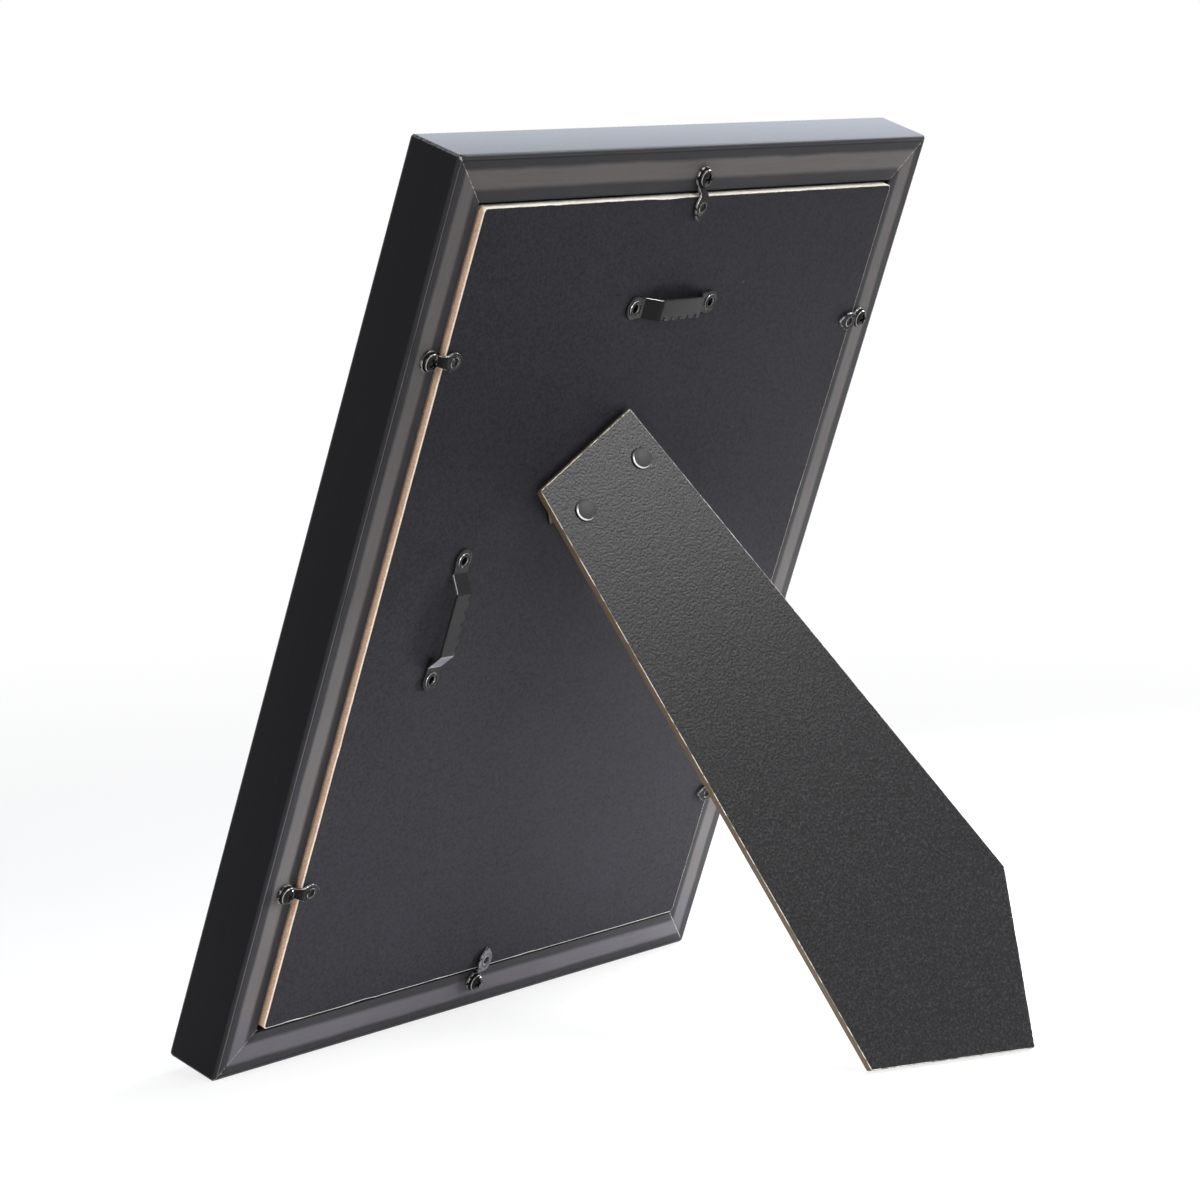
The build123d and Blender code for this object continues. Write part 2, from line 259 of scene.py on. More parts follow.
def roundedOutline(corners, radii, steps):
    points = []
    for index, (corner, radius) in enumerate(zip(corners, radii)):
        before, after = corners[index - 1], corners[(index + 1) % len(corners)]
        if radius > 0:
            points += roundedCorner(corner, before, after, radius, steps)
        else:
            points.append(Vector(corner))
    return points


def resampled(points, spacing):
    dense = []
    for start, end in zip(points, points[1:] + points[:1]):
        count = max(1, round((end - start).length / spacing))
        dense += [start.lerp(end, step / count) for step in range(count)]
    return dense


def inwards(points):
    normals = []
    for index, point in enumerate(points):
        before = (point - points[index - 1]).normalized()
        after = (points[(index + 1) % len(points)] - point).normalized()
        normal = Vector((-(before.y + after.y), before.x + after.x))
        normal.normalize()
        normals.append(normal / max(0.5, normal.dot(Vector((-before.y, before.x)))))
    return normals


def circle(x, y, radius, sides):
    turn = -2 * pi / sides  # clockwise, as the edge of a hole runs
    return [Vector((x + radius * cos(turn * i), y + radius * sin(turn * i))) for i in range(sides)]


def bridge(shape, first, second):
    faces = []
    for index in range(len(first)):
        following = (index + 1) % len(first)
        faces.append(shape.faces.new((first[index], first[following], second[following], second[index])))
    return faces


def fillLoops(shape, loops):
    edges = []
    for loop in loops:
        for index, vertex in enumerate(loop):
            pair = (loop[index - 1], vertex)
            edges.append(shape.edges.get(pair) or shape.edges.new(pair))
    filled = bmesh.ops.triangle_fill(shape, edges=edges, use_beauty=True)["geom"]
    return [item for item in filled if isinstance(item, bmesh.types.BMFace)]


# Moulding: black stain on the outside, thinner on the back, rubbed bare along its middle
moulding = {
    "depth": 18.5,
    "face": 20.2,
    "back": 14.2,
    "rebateFloor": -7.4,
    "backRadius": 1.2,
    "frontRadius": 1.6,
    "rebateRadius": 0.4,
    "sightChamfer": 1.0,
    "mitreEase": 0.13,
    "mitreRough": (0.55, 0.9),
    "mitreNoise": (0.37, 7.1),
    "cornerEase": 0.3,
    "stainSide": (0.0026, 0.0025, 0.0036),
    "stainSideWorn": (0.0062, 0.006, 0.0075),
    "stainBack": (0.0205, 0.0202, 0.0235),
    "stainBackWorn": (0.033, 0.032, 0.0355),
    "bareWood": (0.118, 0.107, 0.104),
    # bluish copy of the bare band for the bottom rail: painted cool light from below
    "bareWoodBluishLit": (0.114, 0.107, 0.12),
    # tone of the painted highlight along the rounded outer-back edge
    "edgeHighlightTone": (0.12, 0.118, 0.125),
    "eased": (0.3, 0.3, 0.31),
    "chippedWood": (0.5, 0.48, 0.45),
    "bandStart": (3.6, 5.2),
    "bandEnd": (9.3, 11.0),
    "edgeLineStart": (0.8, 1.0),
    "edgeLineEnd": (1.3, 1.45),
    "grooveStart": (1.4, 1.5),
    "grooveEnd": (1.7, 1.9),
    "gapShadowLine": (1.0, 0.8),  # painted shadow line of the gap under the board's lower edge, measured outwards from the rebate
    "sightRadius": 0.25,
    "endReach": 3.0,  # length of the eased end at each mitre
    "stations": 14,
}


def mouldingFinish():
    spec = moulding
    look = Finish("stainedMoulding", gloss=0.11)
    at = look.local(backPlace)
    x, y, z = at.parts()
    side = stand["width"] / 2 - abs(x)
    end = y.least(stand["height"] - y)
    inset = side.least(end)
    onSide = side.below(end)
    along = y * onSide + x * (1 - onSide)
    strands = look.node("ShaderNodeCombineXYZ", {}, [along * 0.05, inset * 0.9, z * 0.9])
    fibre = look.grain(strands, 1.0, 6.0, 0.62)
    cloud = look.grain(at, 0.035, 3.0)
    fine = look.grain(at, 1.6, 2.0)
    onBack = z.rise(-1.15, -0.25) * inset.below(spec["back"] + 0.3)
    wander = inset + (cloud - 0.5) * 1.2 + (fibre - 0.5) * 0.6
    band = wander.rise(*spec["bandStart"]) * (1 - wander.rise(*spec["bandEnd"]))
    bare = band * onBack * (0.74 + 0.5 * (fibre - 0.5) + 0.45 * cloud)
    # painted highlight: a light line along the rounded outer-back edge, stronger on the side rails
    edgeLine = inset.rise(*spec["edgeLineStart"]) * (1 - inset.rise(*spec["edgeLineEnd"]))
    edgeHighlight = edgeLine * z.rise(-0.6, -0.3) * (0.25 + 0.75 * onSide) * fibre.rise(0.3, 0.5)
    onBottom = y.below(spec["face"])
    # painted shadow: a dark, dull line on the bottom rail along the rebate, where the gap under the board
    # lies in shade
    lineStart, lineEnd = (spec["back"] - step for step in spec["gapShadowLine"])
    gapShadowLine = inset.rise(lineStart, lineEnd) * (1 - onSide) * onBottom
    outerGroove = inset.rise(*spec["grooveStart"]) * (1 - inset.rise(*spec["grooveEnd"])) * 0.8
    darkLineAndGapShadow = outerGroove.most(gapShadowLine) * onBack
    gap = abs(side - end)
    chip = look.grain(at, 0.6, 4.0, 0.7)
    hairline = (1 - gap.rise(0.04, 0.2)) * chip.rise(0.42, 0.54)
    flake = (1 - gap.rise(0.25, 0.8)) * chip.rise(0.6, 0.66)
    corner = (1 - (side + end).rise(0.3, 0.8)) * fine.rise(0.3, 0.55)
    wear = (fibre - 0.5) * 0.9 + (fine - 0.5) * 0.5 + 0.3
    outside = look.colourMix(wear, spec["stainSide"], spec["stainSideWorn"])
    behind = look.colourMix(wear, spec["stainBack"], spec["stainBackWorn"])
    tone = look.colourMix(onBack, outside, behind)
    # the bottom rail's band takes the bluish copy: painted light
    wood = look.colourMix(onBottom, spec["bareWood"], spec["bareWoodBluishLit"])
    tone = look.colourMix(bare, tone, wood)
    # the outer dark line and the painted gap shadow take the side stain's tone
    tone = look.colourMix(darkLineAndGapShadow, tone, spec["stainSide"])
    tone = look.colourMix(edgeHighlight * 0.6, tone, spec["edgeHighlightTone"])
    tone = look.colourMix(corner * 0.8, tone, spec["eased"])
    tone = look.colourMix(hairline.most(flake) * onBack, tone, spec["chippedWood"])
    look.set(tone=tone, rough=0.34 + 0.12 * onBack + 0.16 * bare + 0.1 * fine + 0.5 * gapShadowLine)
    look.bump(fibre * 0.7 + fine * 0.3, 0.05, 0.55)
    return look


def mouldingSection():
    spec = moulding
    corners = [
        (spec["back"], 0.0),
        (0.0, 0.0),
        (0.0, -spec["depth"]),
        (spec["face"] - spec["sightChamfer"], -spec["depth"]),
        (spec["face"], -spec["depth"] + spec["sightChamfer"]),
        (spec["face"], spec["rebateFloor"]),
        (spec["back"], spec["rebateFloor"]),
    ]
    radii = [spec["rebateRadius"], spec["backRadius"], spec["frontRadius"]]
    radii += [spec["sightRadius"]] * 3 + [0]
    return roundedOutline(corners, radii, 7)


def makeRail(name, place, length, finish, seed):
    spec = moulding
    section = mouldingSection()
    towardsCore = inwards(section)
    insets = [0.0, 2 * spec["cornerEase"], spec["endReach"]]
    inner = spec["stations"]
    stations = [(-1, inset) for inset in insets]
    stations += [(None, step / inner) for step in range(1, inner)]
    stations += [(1, inset) for inset in reversed(insets)]
    shape = bmesh.new()
    rings = []
    for which, value in stations:
        ring = []
        for index, (point, core) in enumerate(zip(section, towardsCore)):
            spot = point.copy()
            if value == 0.0:
                stepAlong, seedStep = spec["mitreNoise"]
                bumpy = noise.noise(Vector((index * stepAlong, seed * seedStep + which, 0)))
                leastRough, moreRough = spec["mitreRough"]
                rough = leastRough + moreRough * abs(bumpy)
                outward = max(0.0, core.x) ** 2
                spot += core * (spec["mitreEase"] * rough * (1 - outward) + spec["cornerEase"] * outward)
            reach = length / 2 - spot.x
            along = (2 * value - 1) * (reach - insets[-1]) if which is None else which * (reach - value)
            ring.append(shape.verts.new((along, spot.x, spot.y)))
        rings.append(ring)
    for first, second in zip(rings, rings[1:]):
        bridge(shape, first, second)
    shape.faces.new(rings[0])
    shape.faces.new(list(reversed(rings[-1])))
    bmesh.ops.recalc_face_normals(shape, faces=shape.faces)
    return makePiece(name, shape, place, finish)


stained = mouldingFinish()
halfWidth, height = stand["width"] / 2, stand["height"]
railPlaces = {
    "bottom_rail": (within(backPlace, 0, 0, 0), stand["width"]),
    "top_rail": (within(backPlace, 0, height, 0, pi), stand["width"]),
    "left_rail": (within(backPlace, -halfWidth, height / 2, 0, -pi / 2), height),
    "right_rail": (within(backPlace, halfWidth, height / 2, 0, pi / 2), height),
}
for seed, (node, (place, length)) in enumerate(railPlaces.items()):
    pieceName = node.split("_")[0] + "MouldingRail"
    settle(makeRail(pieceName, place, length, stained, seed), "frame", "moulding", node)
print("moulding: four mitred rails")


# Boards cut from fibreboard: paper faces, a pale arris and raw tan edges
raggedCut = {
    "scale": 0.22,
    "seedStep": 11.3,
    "rowStep": 0.35,
    "coarse": 0.5,
    "fine": 3.1,
    "chipScale": 0.31,
    "chipFrom": 0.38,
    "chipShift": Vector((3.3, 8.1, 0)),
}


def sideShare(core, shares):
    left, right, low, high = shares
    across = left * max(0.0, core.x) + right * max(0.0, -core.x)
    upright = low * max(0.0, core.y) + high * max(0.0, -core.y)
    return (across + upright) / (abs(core.x) + abs(core.y))


def markFlat(shape, flat):
    for edge in shape.edges:
        edge.smooth = len({face[flat] for face in edge.link_faces}) < 2


def rawBoard(name, outline, holes, span, cut, place, finish, seed):
    low, high = span
    tear = raggedCut
    shape = bmesh.new()
    flat = shape.faces.layers.int.new("flat")
    bare = shape.verts.layers.float.new("rawEdge")
    cores = inwards(outline)
    thick = high - low
    below = (thick - cut["arrisDrop"]) / cut["arrisDrop"]
    levels = [  # inset, depth, bareness and raggedness of each ring
        (1.0, 0.0, 0.0, 0.45),
        (0.45, 0.45, 0.6, 0.6),
        (0.05, 1.0, 1.0, 0.9),
        (0.04, 1.0 + 0.35 * below, 2.0, 1.0),
        (0.05, 1.0 + 0.7 * below, 2.0, 1.0),
        (0.06, thick / cut["arrisDrop"], 2.0, 0.7),
    ]
    rings = []
    for row, (inset, depth, value, rough) in enumerate(levels):
        ring = []
        for point, core in zip(outline, cores):
            layer = seed * tear["seedStep"] + row * tear["rowStep"]
            spot = Vector((point.x * tear["scale"], point.y * tear["scale"], layer))
            coarse = noise.noise(spot * tear["coarse"])
            rag = noise.noise(spot * tear["fine"])
            move = inset * cut["arris"] * sideShare(core, cut["sideShares"])
            move += cut["rag"] * rough * max(-1, 0.6 * coarse + 0.7 * rag)
            chipped = noise.noise(spot * tear["chipScale"] + tear["chipShift"])
            chip = max(0.0, chipped - tear["chipFrom"]) * cut["chip"]
            move = max(0.0, move + (chip if row < 4 else 0))
            drop = cut["rag"] * 0.5 * rag if row in (1, 2) else 0
            level = high - depth * cut["arrisDrop"] + drop
            edge = shape.verts.new((point.x + core.x * move, point.y + core.y * move, level))
            edge[bare] = value * sideShare(core, cut["sideTintsAndTopLight"])
            ring.append(edge)
        rings.append(ring)
    for upper, lower in zip(rings, rings[1:]):
        bridge(shape, lower, upper)
    topLoops, bottomLoops = [rings[0]], [rings[-1]]
    for hole in holes:
        upper = [shape.verts.new((p.x, p.y, high)) for p in hole]
        lower = [shape.verts.new((p.x, p.y, low)) for p in hole]
        bridge(shape, upper, lower)
        topLoops.append(upper)
        bottomLoops.append(lower)
    for loops in (topLoops, bottomLoops):
        for face in fillLoops(shape, loops):
            face[flat] = 1
    bmesh.ops.recalc_face_normals(shape, faces=shape.faces)
    markFlat(shape, flat)
    return makePiece(name, shape, place, finish, None)


backBoard = {
    "gap": 0.9,
    "spacing": 0.9,
    "thickness": 2.8,
    "corner": 1.4,
    "arris": 0.42,
    "arrisDrop": 0.3,
    "sideShares": (1.0, 1.5, 1.2, 1.0),
    # the top edge's half share keeps it cream rather than tan: painted light falling from above
    "sideTintsAndTopLight": (1.0, 1.0, 1.0, 0.5),
    "rag": 0.13,
    "chip": 0.9,
    "broken": 0.0,
    "paper": (0.0195, 0.0189, 0.0222),
    "lightPaper": (0.0335, 0.0324, 0.0382),
    "cream": (0.95, 0.9, 0.8),
    "tan": (0.86, 0.56, 0.37),
    "gloss": 0.03,
    "rough": 0.66,
    "pebble": (1.0, 0.0, 2.6),
    "uneven": 0.1,
    "bump": (0.08, 0.6),
    "shadeRings": [],
}
strutBoard = {
    "spacing": 0.8,
    "thickness": 2.8,
    "pinBelow": 2.5,
    "topWidth": 40.8,
    "corner": 0.7,
    "arris": 0.16,
    "arrisDrop": 0.16,
    "sideShares": (1.0, 1.3, 2.6, 3.2),
    "sideTintsAndTopLight": (1.0, 1.0, 1.0, 1.7),
    "rag": 0.06,
    "chip": 0.4,
    "broken": 0.75,
    "paper": (0.0045, 0.0044, 0.0052),
    "lightPaper": (0.0165, 0.0162, 0.0182),
    "cream": (0.9, 0.87, 0.8),
    "tan": (0.145, 0.1, 0.055),
    "gloss": 0.3,
    "rough": 0.24,
    "pebble": (1.3, 0.4, 3.4),
    "uneven": 0.3,
    "bump": (0.075, 1.0),
}
# the ring tone is painted shade around the strut's rivets
boardTones = {"speck": (0.3, 0.3, 0.31), "dent": (0.006, 0.006, 0.006), "cutRim": (0.009, 0.0085, 0.0085)}


def boardFinish(name, spec, place):
    look = Finish(name, gloss=spec["gloss"])
    at = look.local(place)
    raw = look.attribute("rawEdge")
    scale, cellShare, contrast = spec["pebble"]
    fibre = look.grain(look.stretched(at, 0.5, 2.4, 3.0), 1.0, 5.0, 0.6)
    tooth = look.grain(at, scale, 3.0, 0.6) * (1 - cellShare) + look.cells(at, scale) * cellShare
    cloud = look.grain(at, 0.02, 3.0)
    speck = (1 - look.cells(at, 0.11).rise(0.025, 0.05)) * look.grain(at, 0.5, 3.0).rise(0.6, 0.75)
    shade = (tooth - 0.5) * contrast + (cloud - 0.5) * 0.5 + 0.5
    paper = look.colourMix(shade, spec["paper"], spec["lightPaper"])
    paper = look.colourMix(speck * 0.5, paper, boardTones["speck"])
    x, y, z = at.parts()
    # painted shade: a dark ring on the board around each rivet head
    for shadeX, shadeY, start, end in spec["shadeRings"]:
        across, upright = x - shadeX, y - shadeY
        reach = (across * across + upright * upright).math("SQRT")
        paper = look.colourMix((1 - reach.rise(start, end)) * 0.9, paper, boardTones["dent"])
    paper = look.colourMix(raw.rise(0.02, 0.12), paper, boardTones["cutRim"])
    arris = look.colourMix(fibre.rise(0.3, 0.75), spec["cream"], scaledTone(spec["cream"], 0.72))
    cutEdge = look.colourMix(fibre.rise(0.25, 0.75), spec["tan"], scaledTone(spec["tan"], 0.6))
    ragged = raw + (fibre - 0.5) * 0.35
    whole = 1 - spec["broken"] * look.grain(at, 0.3, 3.0).rise(0.46, 0.58)
    tone = look.colourMix(ragged.rise(0.22, 0.36) * whole, paper, arris)
    tone = look.colourMix(ragged.rise(1.02, 1.3), tone, cutEdge)
    isRaw = raw.rise(0.2, 0.5)
    depth, strength = spec["bump"]
    look.set(tone=tone, rough=spec["rough"] + 0.3 * isRaw + spec["uneven"] * (tooth - 0.5))
    look.bump(tooth * (1 - isRaw) + fibre * isRaw * 1.2, depth, strength)
    return look


hanger = {
    "edge": 49.0,
    "eyes": 37.8,
    "hole": 1.82,
    "tabRadius": 3.6,
    "width": 6.4,
    "foot": 14.6,
    "bridge": 9.8,
    "rise": 3.4,
    "sheet": 0.8,
    "pitch": 4.0,
    "toothDepth": 1.3,
    "toothFlat": 0.16,
    "teeth": 5,
    "rim": 0.14,
    "bend": 0.35,
    "holeSides": 32,
    "tabSteps": 26,
    # rub on the strips' edge faces: the bright line on the ramp's upper edge is a painted highlight, the
    # teeth's flats carry a lighter rub
    "rubs": {"ramp": 2.0, "teeth": 0.85, "rest": 0.5},
}
proud = stand["boardProud"]
hangerPlaces = {
    "top_hanger": within(backPlace, 0, height - hanger["edge"], proud),
    "side_hanger": within(backPlace, hanger["edge"] - halfWidth, height / 2, proud, pi / 2),
}
backInverse = backPlace.inverted()


def onBoard(matrix, x, y):
    spot = backInverse @ (matrix @ Vector((x * mm, y * mm, 0))) / mm
    return Vector((spot.x, spot.y))


eyeletHoles = []
for place in hangerPlaces.values():
    for side in (-1, 1):
        centre = onBoard(place, side * hanger["eyes"] / 2, 0)
        eyeletHoles.append(circle(centre.x, centre.y, hanger["hole"], hanger["holeSides"]))

boardInset = moulding["back"] + backBoard["gap"]
boardHalf, boardTop = halfWidth - boardInset, height - boardInset
boardCorners = [(-boardHalf, boardInset), (boardHalf, boardInset)]
boardCorners += [(boardHalf, boardTop), (-boardHalf, boardTop)]
boardOutline = roundedOutline(boardCorners, [backBoard["corner"]] * 4, 5)
boardOutline = resampled(boardOutline, backBoard["spacing"])
paperBoard = boardFinish("paperFacedBoard", backBoard, backPlace)
boardSpan = (proud - backBoard["thickness"], proud)
board = rawBoard("backingBoard", boardOutline, eyeletHoles, boardSpan, backBoard, backPlace, paperBoard, 1)
settle(board, "frame", "back_board", "backing_board")
print("backing board:", len(board.data.polygons), "faces")

# The strut's corners come from its CAD node, read in the strut's own place
strutInverse = strutPlace.inverted()
cadStrut = frame["nodes"]["strut_board"].data
flatStrut = [strutInverse @ v.co / mm for v in cadStrut.vertices]
strutLow = strutBoard["pinBelow"]
strutSpan = (strutLow, strutLow + strutBoard["thickness"])
faceLevel = strutLow + strutBoard["thickness"] * 0.9  # only the outer face lies above it
outerFace = [Vector((v.x, v.y)) for v in flatStrut if v.z > faceLevel]
halfTop = strutBoard["topWidth"] / 2
strutTop = max(v.y for v in outerFace)
footTip = min(outerFace, key=lambda v: v.y)
rightFoot = max(outerFace, key=lambda v: v.x)
leftFoot = min(outerFace, key=lambda v: v.x)
footCorners = sorted((rightFoot, footTip, leftFoot), key=lambda v: v.x)
strutCorners = [Vector((-halfTop, strutTop)), *footCorners, Vector((halfTop, strutTop))]
strutOutline = roundedOutline(strutCorners, [strutBoard["corner"]] * 5, 4)
strutOutline = resampled(strutOutline, strutBoard["spacing"])
rivet = {
    "head": 3.3,
    "height": 1.2,
    "shank": 1.6,
    "sheet": 0.8,
    "drop": 13.3,
    "half": 12.9,
    # inner and outer radius of the painted shade ring around each head
    "dent": (3.5, 4.0),
    # side of the painted highlight crescent on each rivet's slope
    "sheenSide": radians(200),
}
rivetY = strutTop - rivet["drop"]
strutBoard["shadeRings"] = [(side * rivet["half"], rivetY, *rivet["dent"]) for side in (-1, 1)]
pebbled = boardFinish("pebbledStrutBoard", strutBoard, strutPlace)
strut = rawBoard("strutPanel", strutOutline, [], strutSpan, strutBoard, strutPlace, pebbled, 2)
settle(strut, "strut", "strut_board", "strut_board")
print("strut:", [tuple(round(n, 1) for n in v) for v in strutCorners])


# Pressed sheet metal: a flat outline with rounded rims, bent along its length
press = {
    "samples": 6,
    "rimShare": 0.29,
    "dishShares": (1.3, 1.2, 1.1, 1.0, 0.92, 0.84, 0.76, 0.68, 0.6, 0.52, 0.3),
    "bendShares": (-1, -0.6, -0.2, 0.2, 0.6, 1),
    "slopeStep": 0.02,
    "dishSides": 28,
    "dishSlope": 0.4,
    "lipHalf": 0.3,
    "lipSheen": (1.05, 0.15, 1.2),  # painted highlight ring on the dimple's lip: middle and half width in shares of the dimple's radius, strength
}


def bentHeight(corners, x, blend):
    total = 0.0
    samples = press["samples"]
    for step in range(-samples, samples + 1):
        spot = x + blend * step / samples
        level = corners[0][1] if spot <= corners[0][0] else corners[-1][1]
        for (x0, z0), (x1, z1) in zip(corners, corners[1:]):
            if x0 < spot <= x1:
                level = z0 + (z1 - z0) * (spot - x0) / (x1 - x0)
        total += level
    return total / (2 * samples + 1)


def bentSlope(corners, x, blend):
    step = press["slopeStep"]
    return (bentHeight(corners, x + step, blend) - bentHeight(corners, x - step, blend)) / (2 * step)


def pressedSheet(name, outline, holes, dimples, bends, spec, place, finish, shift=None, worn=None, rub=None):
    shape = bmesh.new()
    flat = shape.faces.layers.int.new("flat")
    rubbedAndSheen = shape.verts.layers.float.new("rubbedRim")
    bare = shape.verts.layers.float.new("bareSteel")
    rim, sheet = spec["rim"], spec["sheet"]
    ease = press["rimShare"] * rim
    lips = [(rim, 0.0, 0.0), (ease, ease, 0.4), (0.0, rim, 0.8)]
    lips += [(0.0, sheet - rim, 1.0), (ease, sheet - ease, 1.0), (rim, sheet, 0.35)]
    topLoops, bottomLoops = [], []
    for loop in (outline, *holes):
        cores = inwards(loop)
        rings = []
        for inset, level, value in lips:
            ring = []
            for point, core in zip(loop, cores):
                ring.append(shape.verts.new((point.x + core.x * inset, point.y + core.y * inset, level)))
                ring[-1][rubbedAndSheen] = value
            rings.append(ring)
        for lower, upper in zip(rings, rings[1:]):
            bridge(shape, lower, upper)
        bottomLoops.append(rings[0])
        topLoops.append(rings[-1])
    surface = set()
    for loops, level in ((topLoops, sheet), (bottomLoops, 0.0)):
        for x, y, radius in dimples:
            dishes = []
            for share in press["dishShares"]:
                ring = circle(x, y, radius * share, press["dishSides"])
                dishes.append([shape.verts.new((p.x, p.y, level)) for p in ring])
            for outer, inner in zip(dishes, dishes[1:]):
                surface.update(bridge(shape, outer, inner))
            middle = shape.verts.new((x, y, level))
            for index in range(len(dishes[-1])):
                surface.add(shape.faces.new((dishes[-1][index - 1], dishes[-1][index], middle)))
            loops = loops + [dishes[0]]
        surface.update(fillLoops(shape, loops))
    for face in surface:
        face[flat] = 1
    cuts = {round(x + spec["bend"] * share, 3) for x, level in bends for share in press["bendShares"]}
    for x in sorted(cuts):
        everything = shape.verts[:] + shape.edges[:] + shape.faces[:]
        bmesh.ops.bisect_plane(shape, geom=everything, dist=1e-5, plane_co=(x, 0, 0), plane_no=(1, 0, 0))
    for vertex in shape.verts:
        x, y, level = vertex.co
        if worn and level > sheet - 0.01:
            vertex[bare] = worn(x, y)
        if rub:
            onEdge = 0.001 < level < sheet - 0.001
            vertex[rubbedAndSheen] *= rub(x, y) if onEdge else 0.0
        for dx, dy, radius in dimples:
            reach = hypot(x - dx, y - dy) / radius
            near = min(1.0, max(0.0, (1 - reach) / press["dishSlope"]))
            level -= spec["dimpleDepth"] * near * near * (3 - 2 * near)
            level += spec["lip"] * max(0.0, 1 - abs(reach - 1) / press["lipHalf"]) ** 2
            # painted highlight: a bright rubbed ring on the dimple's lip
            middle, half, strength = press["lipSheen"]
            vertex[rubbedAndSheen] = max(vertex[rubbedAndSheen], strength * max(0.0, 1 - abs(reach - middle) / half))
        if shift:
            level += shift(x, y)
        base = bentHeight(bends, x, spec["bend"])
        slope = bentSlope(bends, x, spec["bend"])
        lean = 1 / hypot(1, slope)
        vertex.co = (x - level * slope * lean, y, base + level * lean)
    bmesh.ops.recalc_face_normals(shape, faces=shape.faces)
    markFlat(shape, flat)
    return makePiece(name, shape, place, finish, None)


lacquerTones = {
    "dark": (0.007, 0.0062, 0.006),
    "light": (0.013, 0.0115, 0.0105),
    "rubbedAndSheen": (0.62, 0.61, 0.6),
    # pale lavender steel on the side hanger's lower ramp and the bottom button's leaf: painted reflection
    "bare": (0.42, 0.41, 0.47),
}


# Black lacquer with rubbed rims; the rub marks also carry painted highlight lines on the hanger ramps and
# dimple lips, and the pale steel mark is a painted reflection
def lacquerFinish():
    look = Finish("blackLacqueredSteel", gloss=0.13)
    at = look.node("ShaderNodeTexCoord", out="Object")
    mottle = look.grain(at, 900.0, 4.0)
    cloud = look.grain(at, 160.0, 3.0)
    rim = look.attribute("rubbedRim")
    worn = (rim.rise(0.5, 1.0) * look.grain(at, 700.0, 3.0).rise(0.4, 0.58)).most(rim.rise(1.1, 1.3))
    # the pale steel mark is a painted reflection
    bare = look.attribute("bareSteel")
    tone = look.colourMix(cloud, lacquerTones["dark"], lacquerTones["light"])
    tone = look.colourMix(worn * 0.9, tone, lacquerTones["rubbedAndSheen"])
    tone = look.colourMix(bare, tone, lacquerTones["bare"])
    dullRim = rim.rise(0.05, 0.3) * (1 - worn) * (1 - bare)
    rough = 0.15 + 0.06 * (mottle - 0.5) + 0.14 * bare + 0.6 * dullRim
    look.set(tone=tone, rough=rough, metal=(worn * 0.9).most(bare * 0.9))
    look.bump(mottle, 0.008, 0.15)
    return look


lacquer = lacquerFinish()


# Hinge plates: the CAD node's own shape with its edges rounded over
hingePlates = {
    "ease": 0.14,
    "plates": [("hingeBracketPlate", "hinge_bracket", "frame"), ("hingeLeafPlate", "hinge_leaf", "strut")],
}


def softened(name, node, width, finish):
    shape = bmesh.new()
    shape.from_mesh(frame["nodes"][node].data)
    bmesh.ops.remove_doubles(shape, verts=shape.verts, dist=1e-7)
    bmesh.ops.dissolve_limit(shape, angle_limit=radians(2), verts=shape.verts, edges=shape.edges)
    rims = [edge for edge in shape.edges if edge.is_manifold and edge.calc_face_angle(0) > radians(45)]
    rounding = {"segments": 2, "profile": 0.5, "affect": "EDGES", "clamp_overlap": True}
    bmesh.ops.bevel(shape, geom=rims, offset=width * mm, **rounding)
    bmesh.ops.scale(shape, vec=(1 / mm,) * 3, verts=shape.verts)
    return makePiece(name, shape, Matrix.Identity(4), finish, 40)


for pieceName, node, body in hingePlates["plates"]:
    settle(softened(pieceName, node, hingePlates["ease"], lacquer), body, "black_steel", node)
print("hinge: bracket and leaf")


def hangerOutline():
    spec = hanger
    eye, tab, half = spec["eyes"] / 2, spec["tabRadius"], spec["width"] / 2
    join = (tab * tab - half * half) ** 0.5
    start = -(eye - join)
    points = [Vector((start, -half))]
    for tooth in range(spec["teeth"]):
        x = (tooth - (spec["teeth"] - 1) / 2) * spec["pitch"]
        depth, flat = spec["toothDepth"], spec["toothFlat"]
        for dx, dy in ((-depth, 0), (-flat, depth - flat), (flat, depth - flat), (depth, 0)):
            points.append(Vector((x + dx, dy - half)))
    points.append(Vector((-start, -half)))
    sweep = pi - asin(half / tab)
    steps = spec["tabSteps"]
    right = []
    for step in range(1, steps):
        angle = sweep * (2 * step / steps - 1)
        right.append(Vector((eye + tab * cos(angle), tab * sin(angle))))
    points += right
    points += [Vector((-start, half)), Vector((start, half))]
    points += [Vector((-p.x, -p.y)) for p in right]
    return points


# the side hanger's lower ramp takes the painted reflection of pale steel
def rampSheen(x, y):
    return 1.0 if -hanger["foot"] < x < -hanger["bridge"] else 0.0


def topRubAndSheen(x, y):
    rubs = hanger["rubs"]
    if -hanger["foot"] < x < -hanger["bridge"] and y > 0:
        return rubs["ramp"]
    onTeeth = abs(x) < hanger["bridge"] and y < 0.2 - hanger["width"] / 2
    return rubs["teeth"] if onTeeth else rubs["rest"]


def sideRubAndSheen(x, y):
    return topRubAndSheen(-x, y)


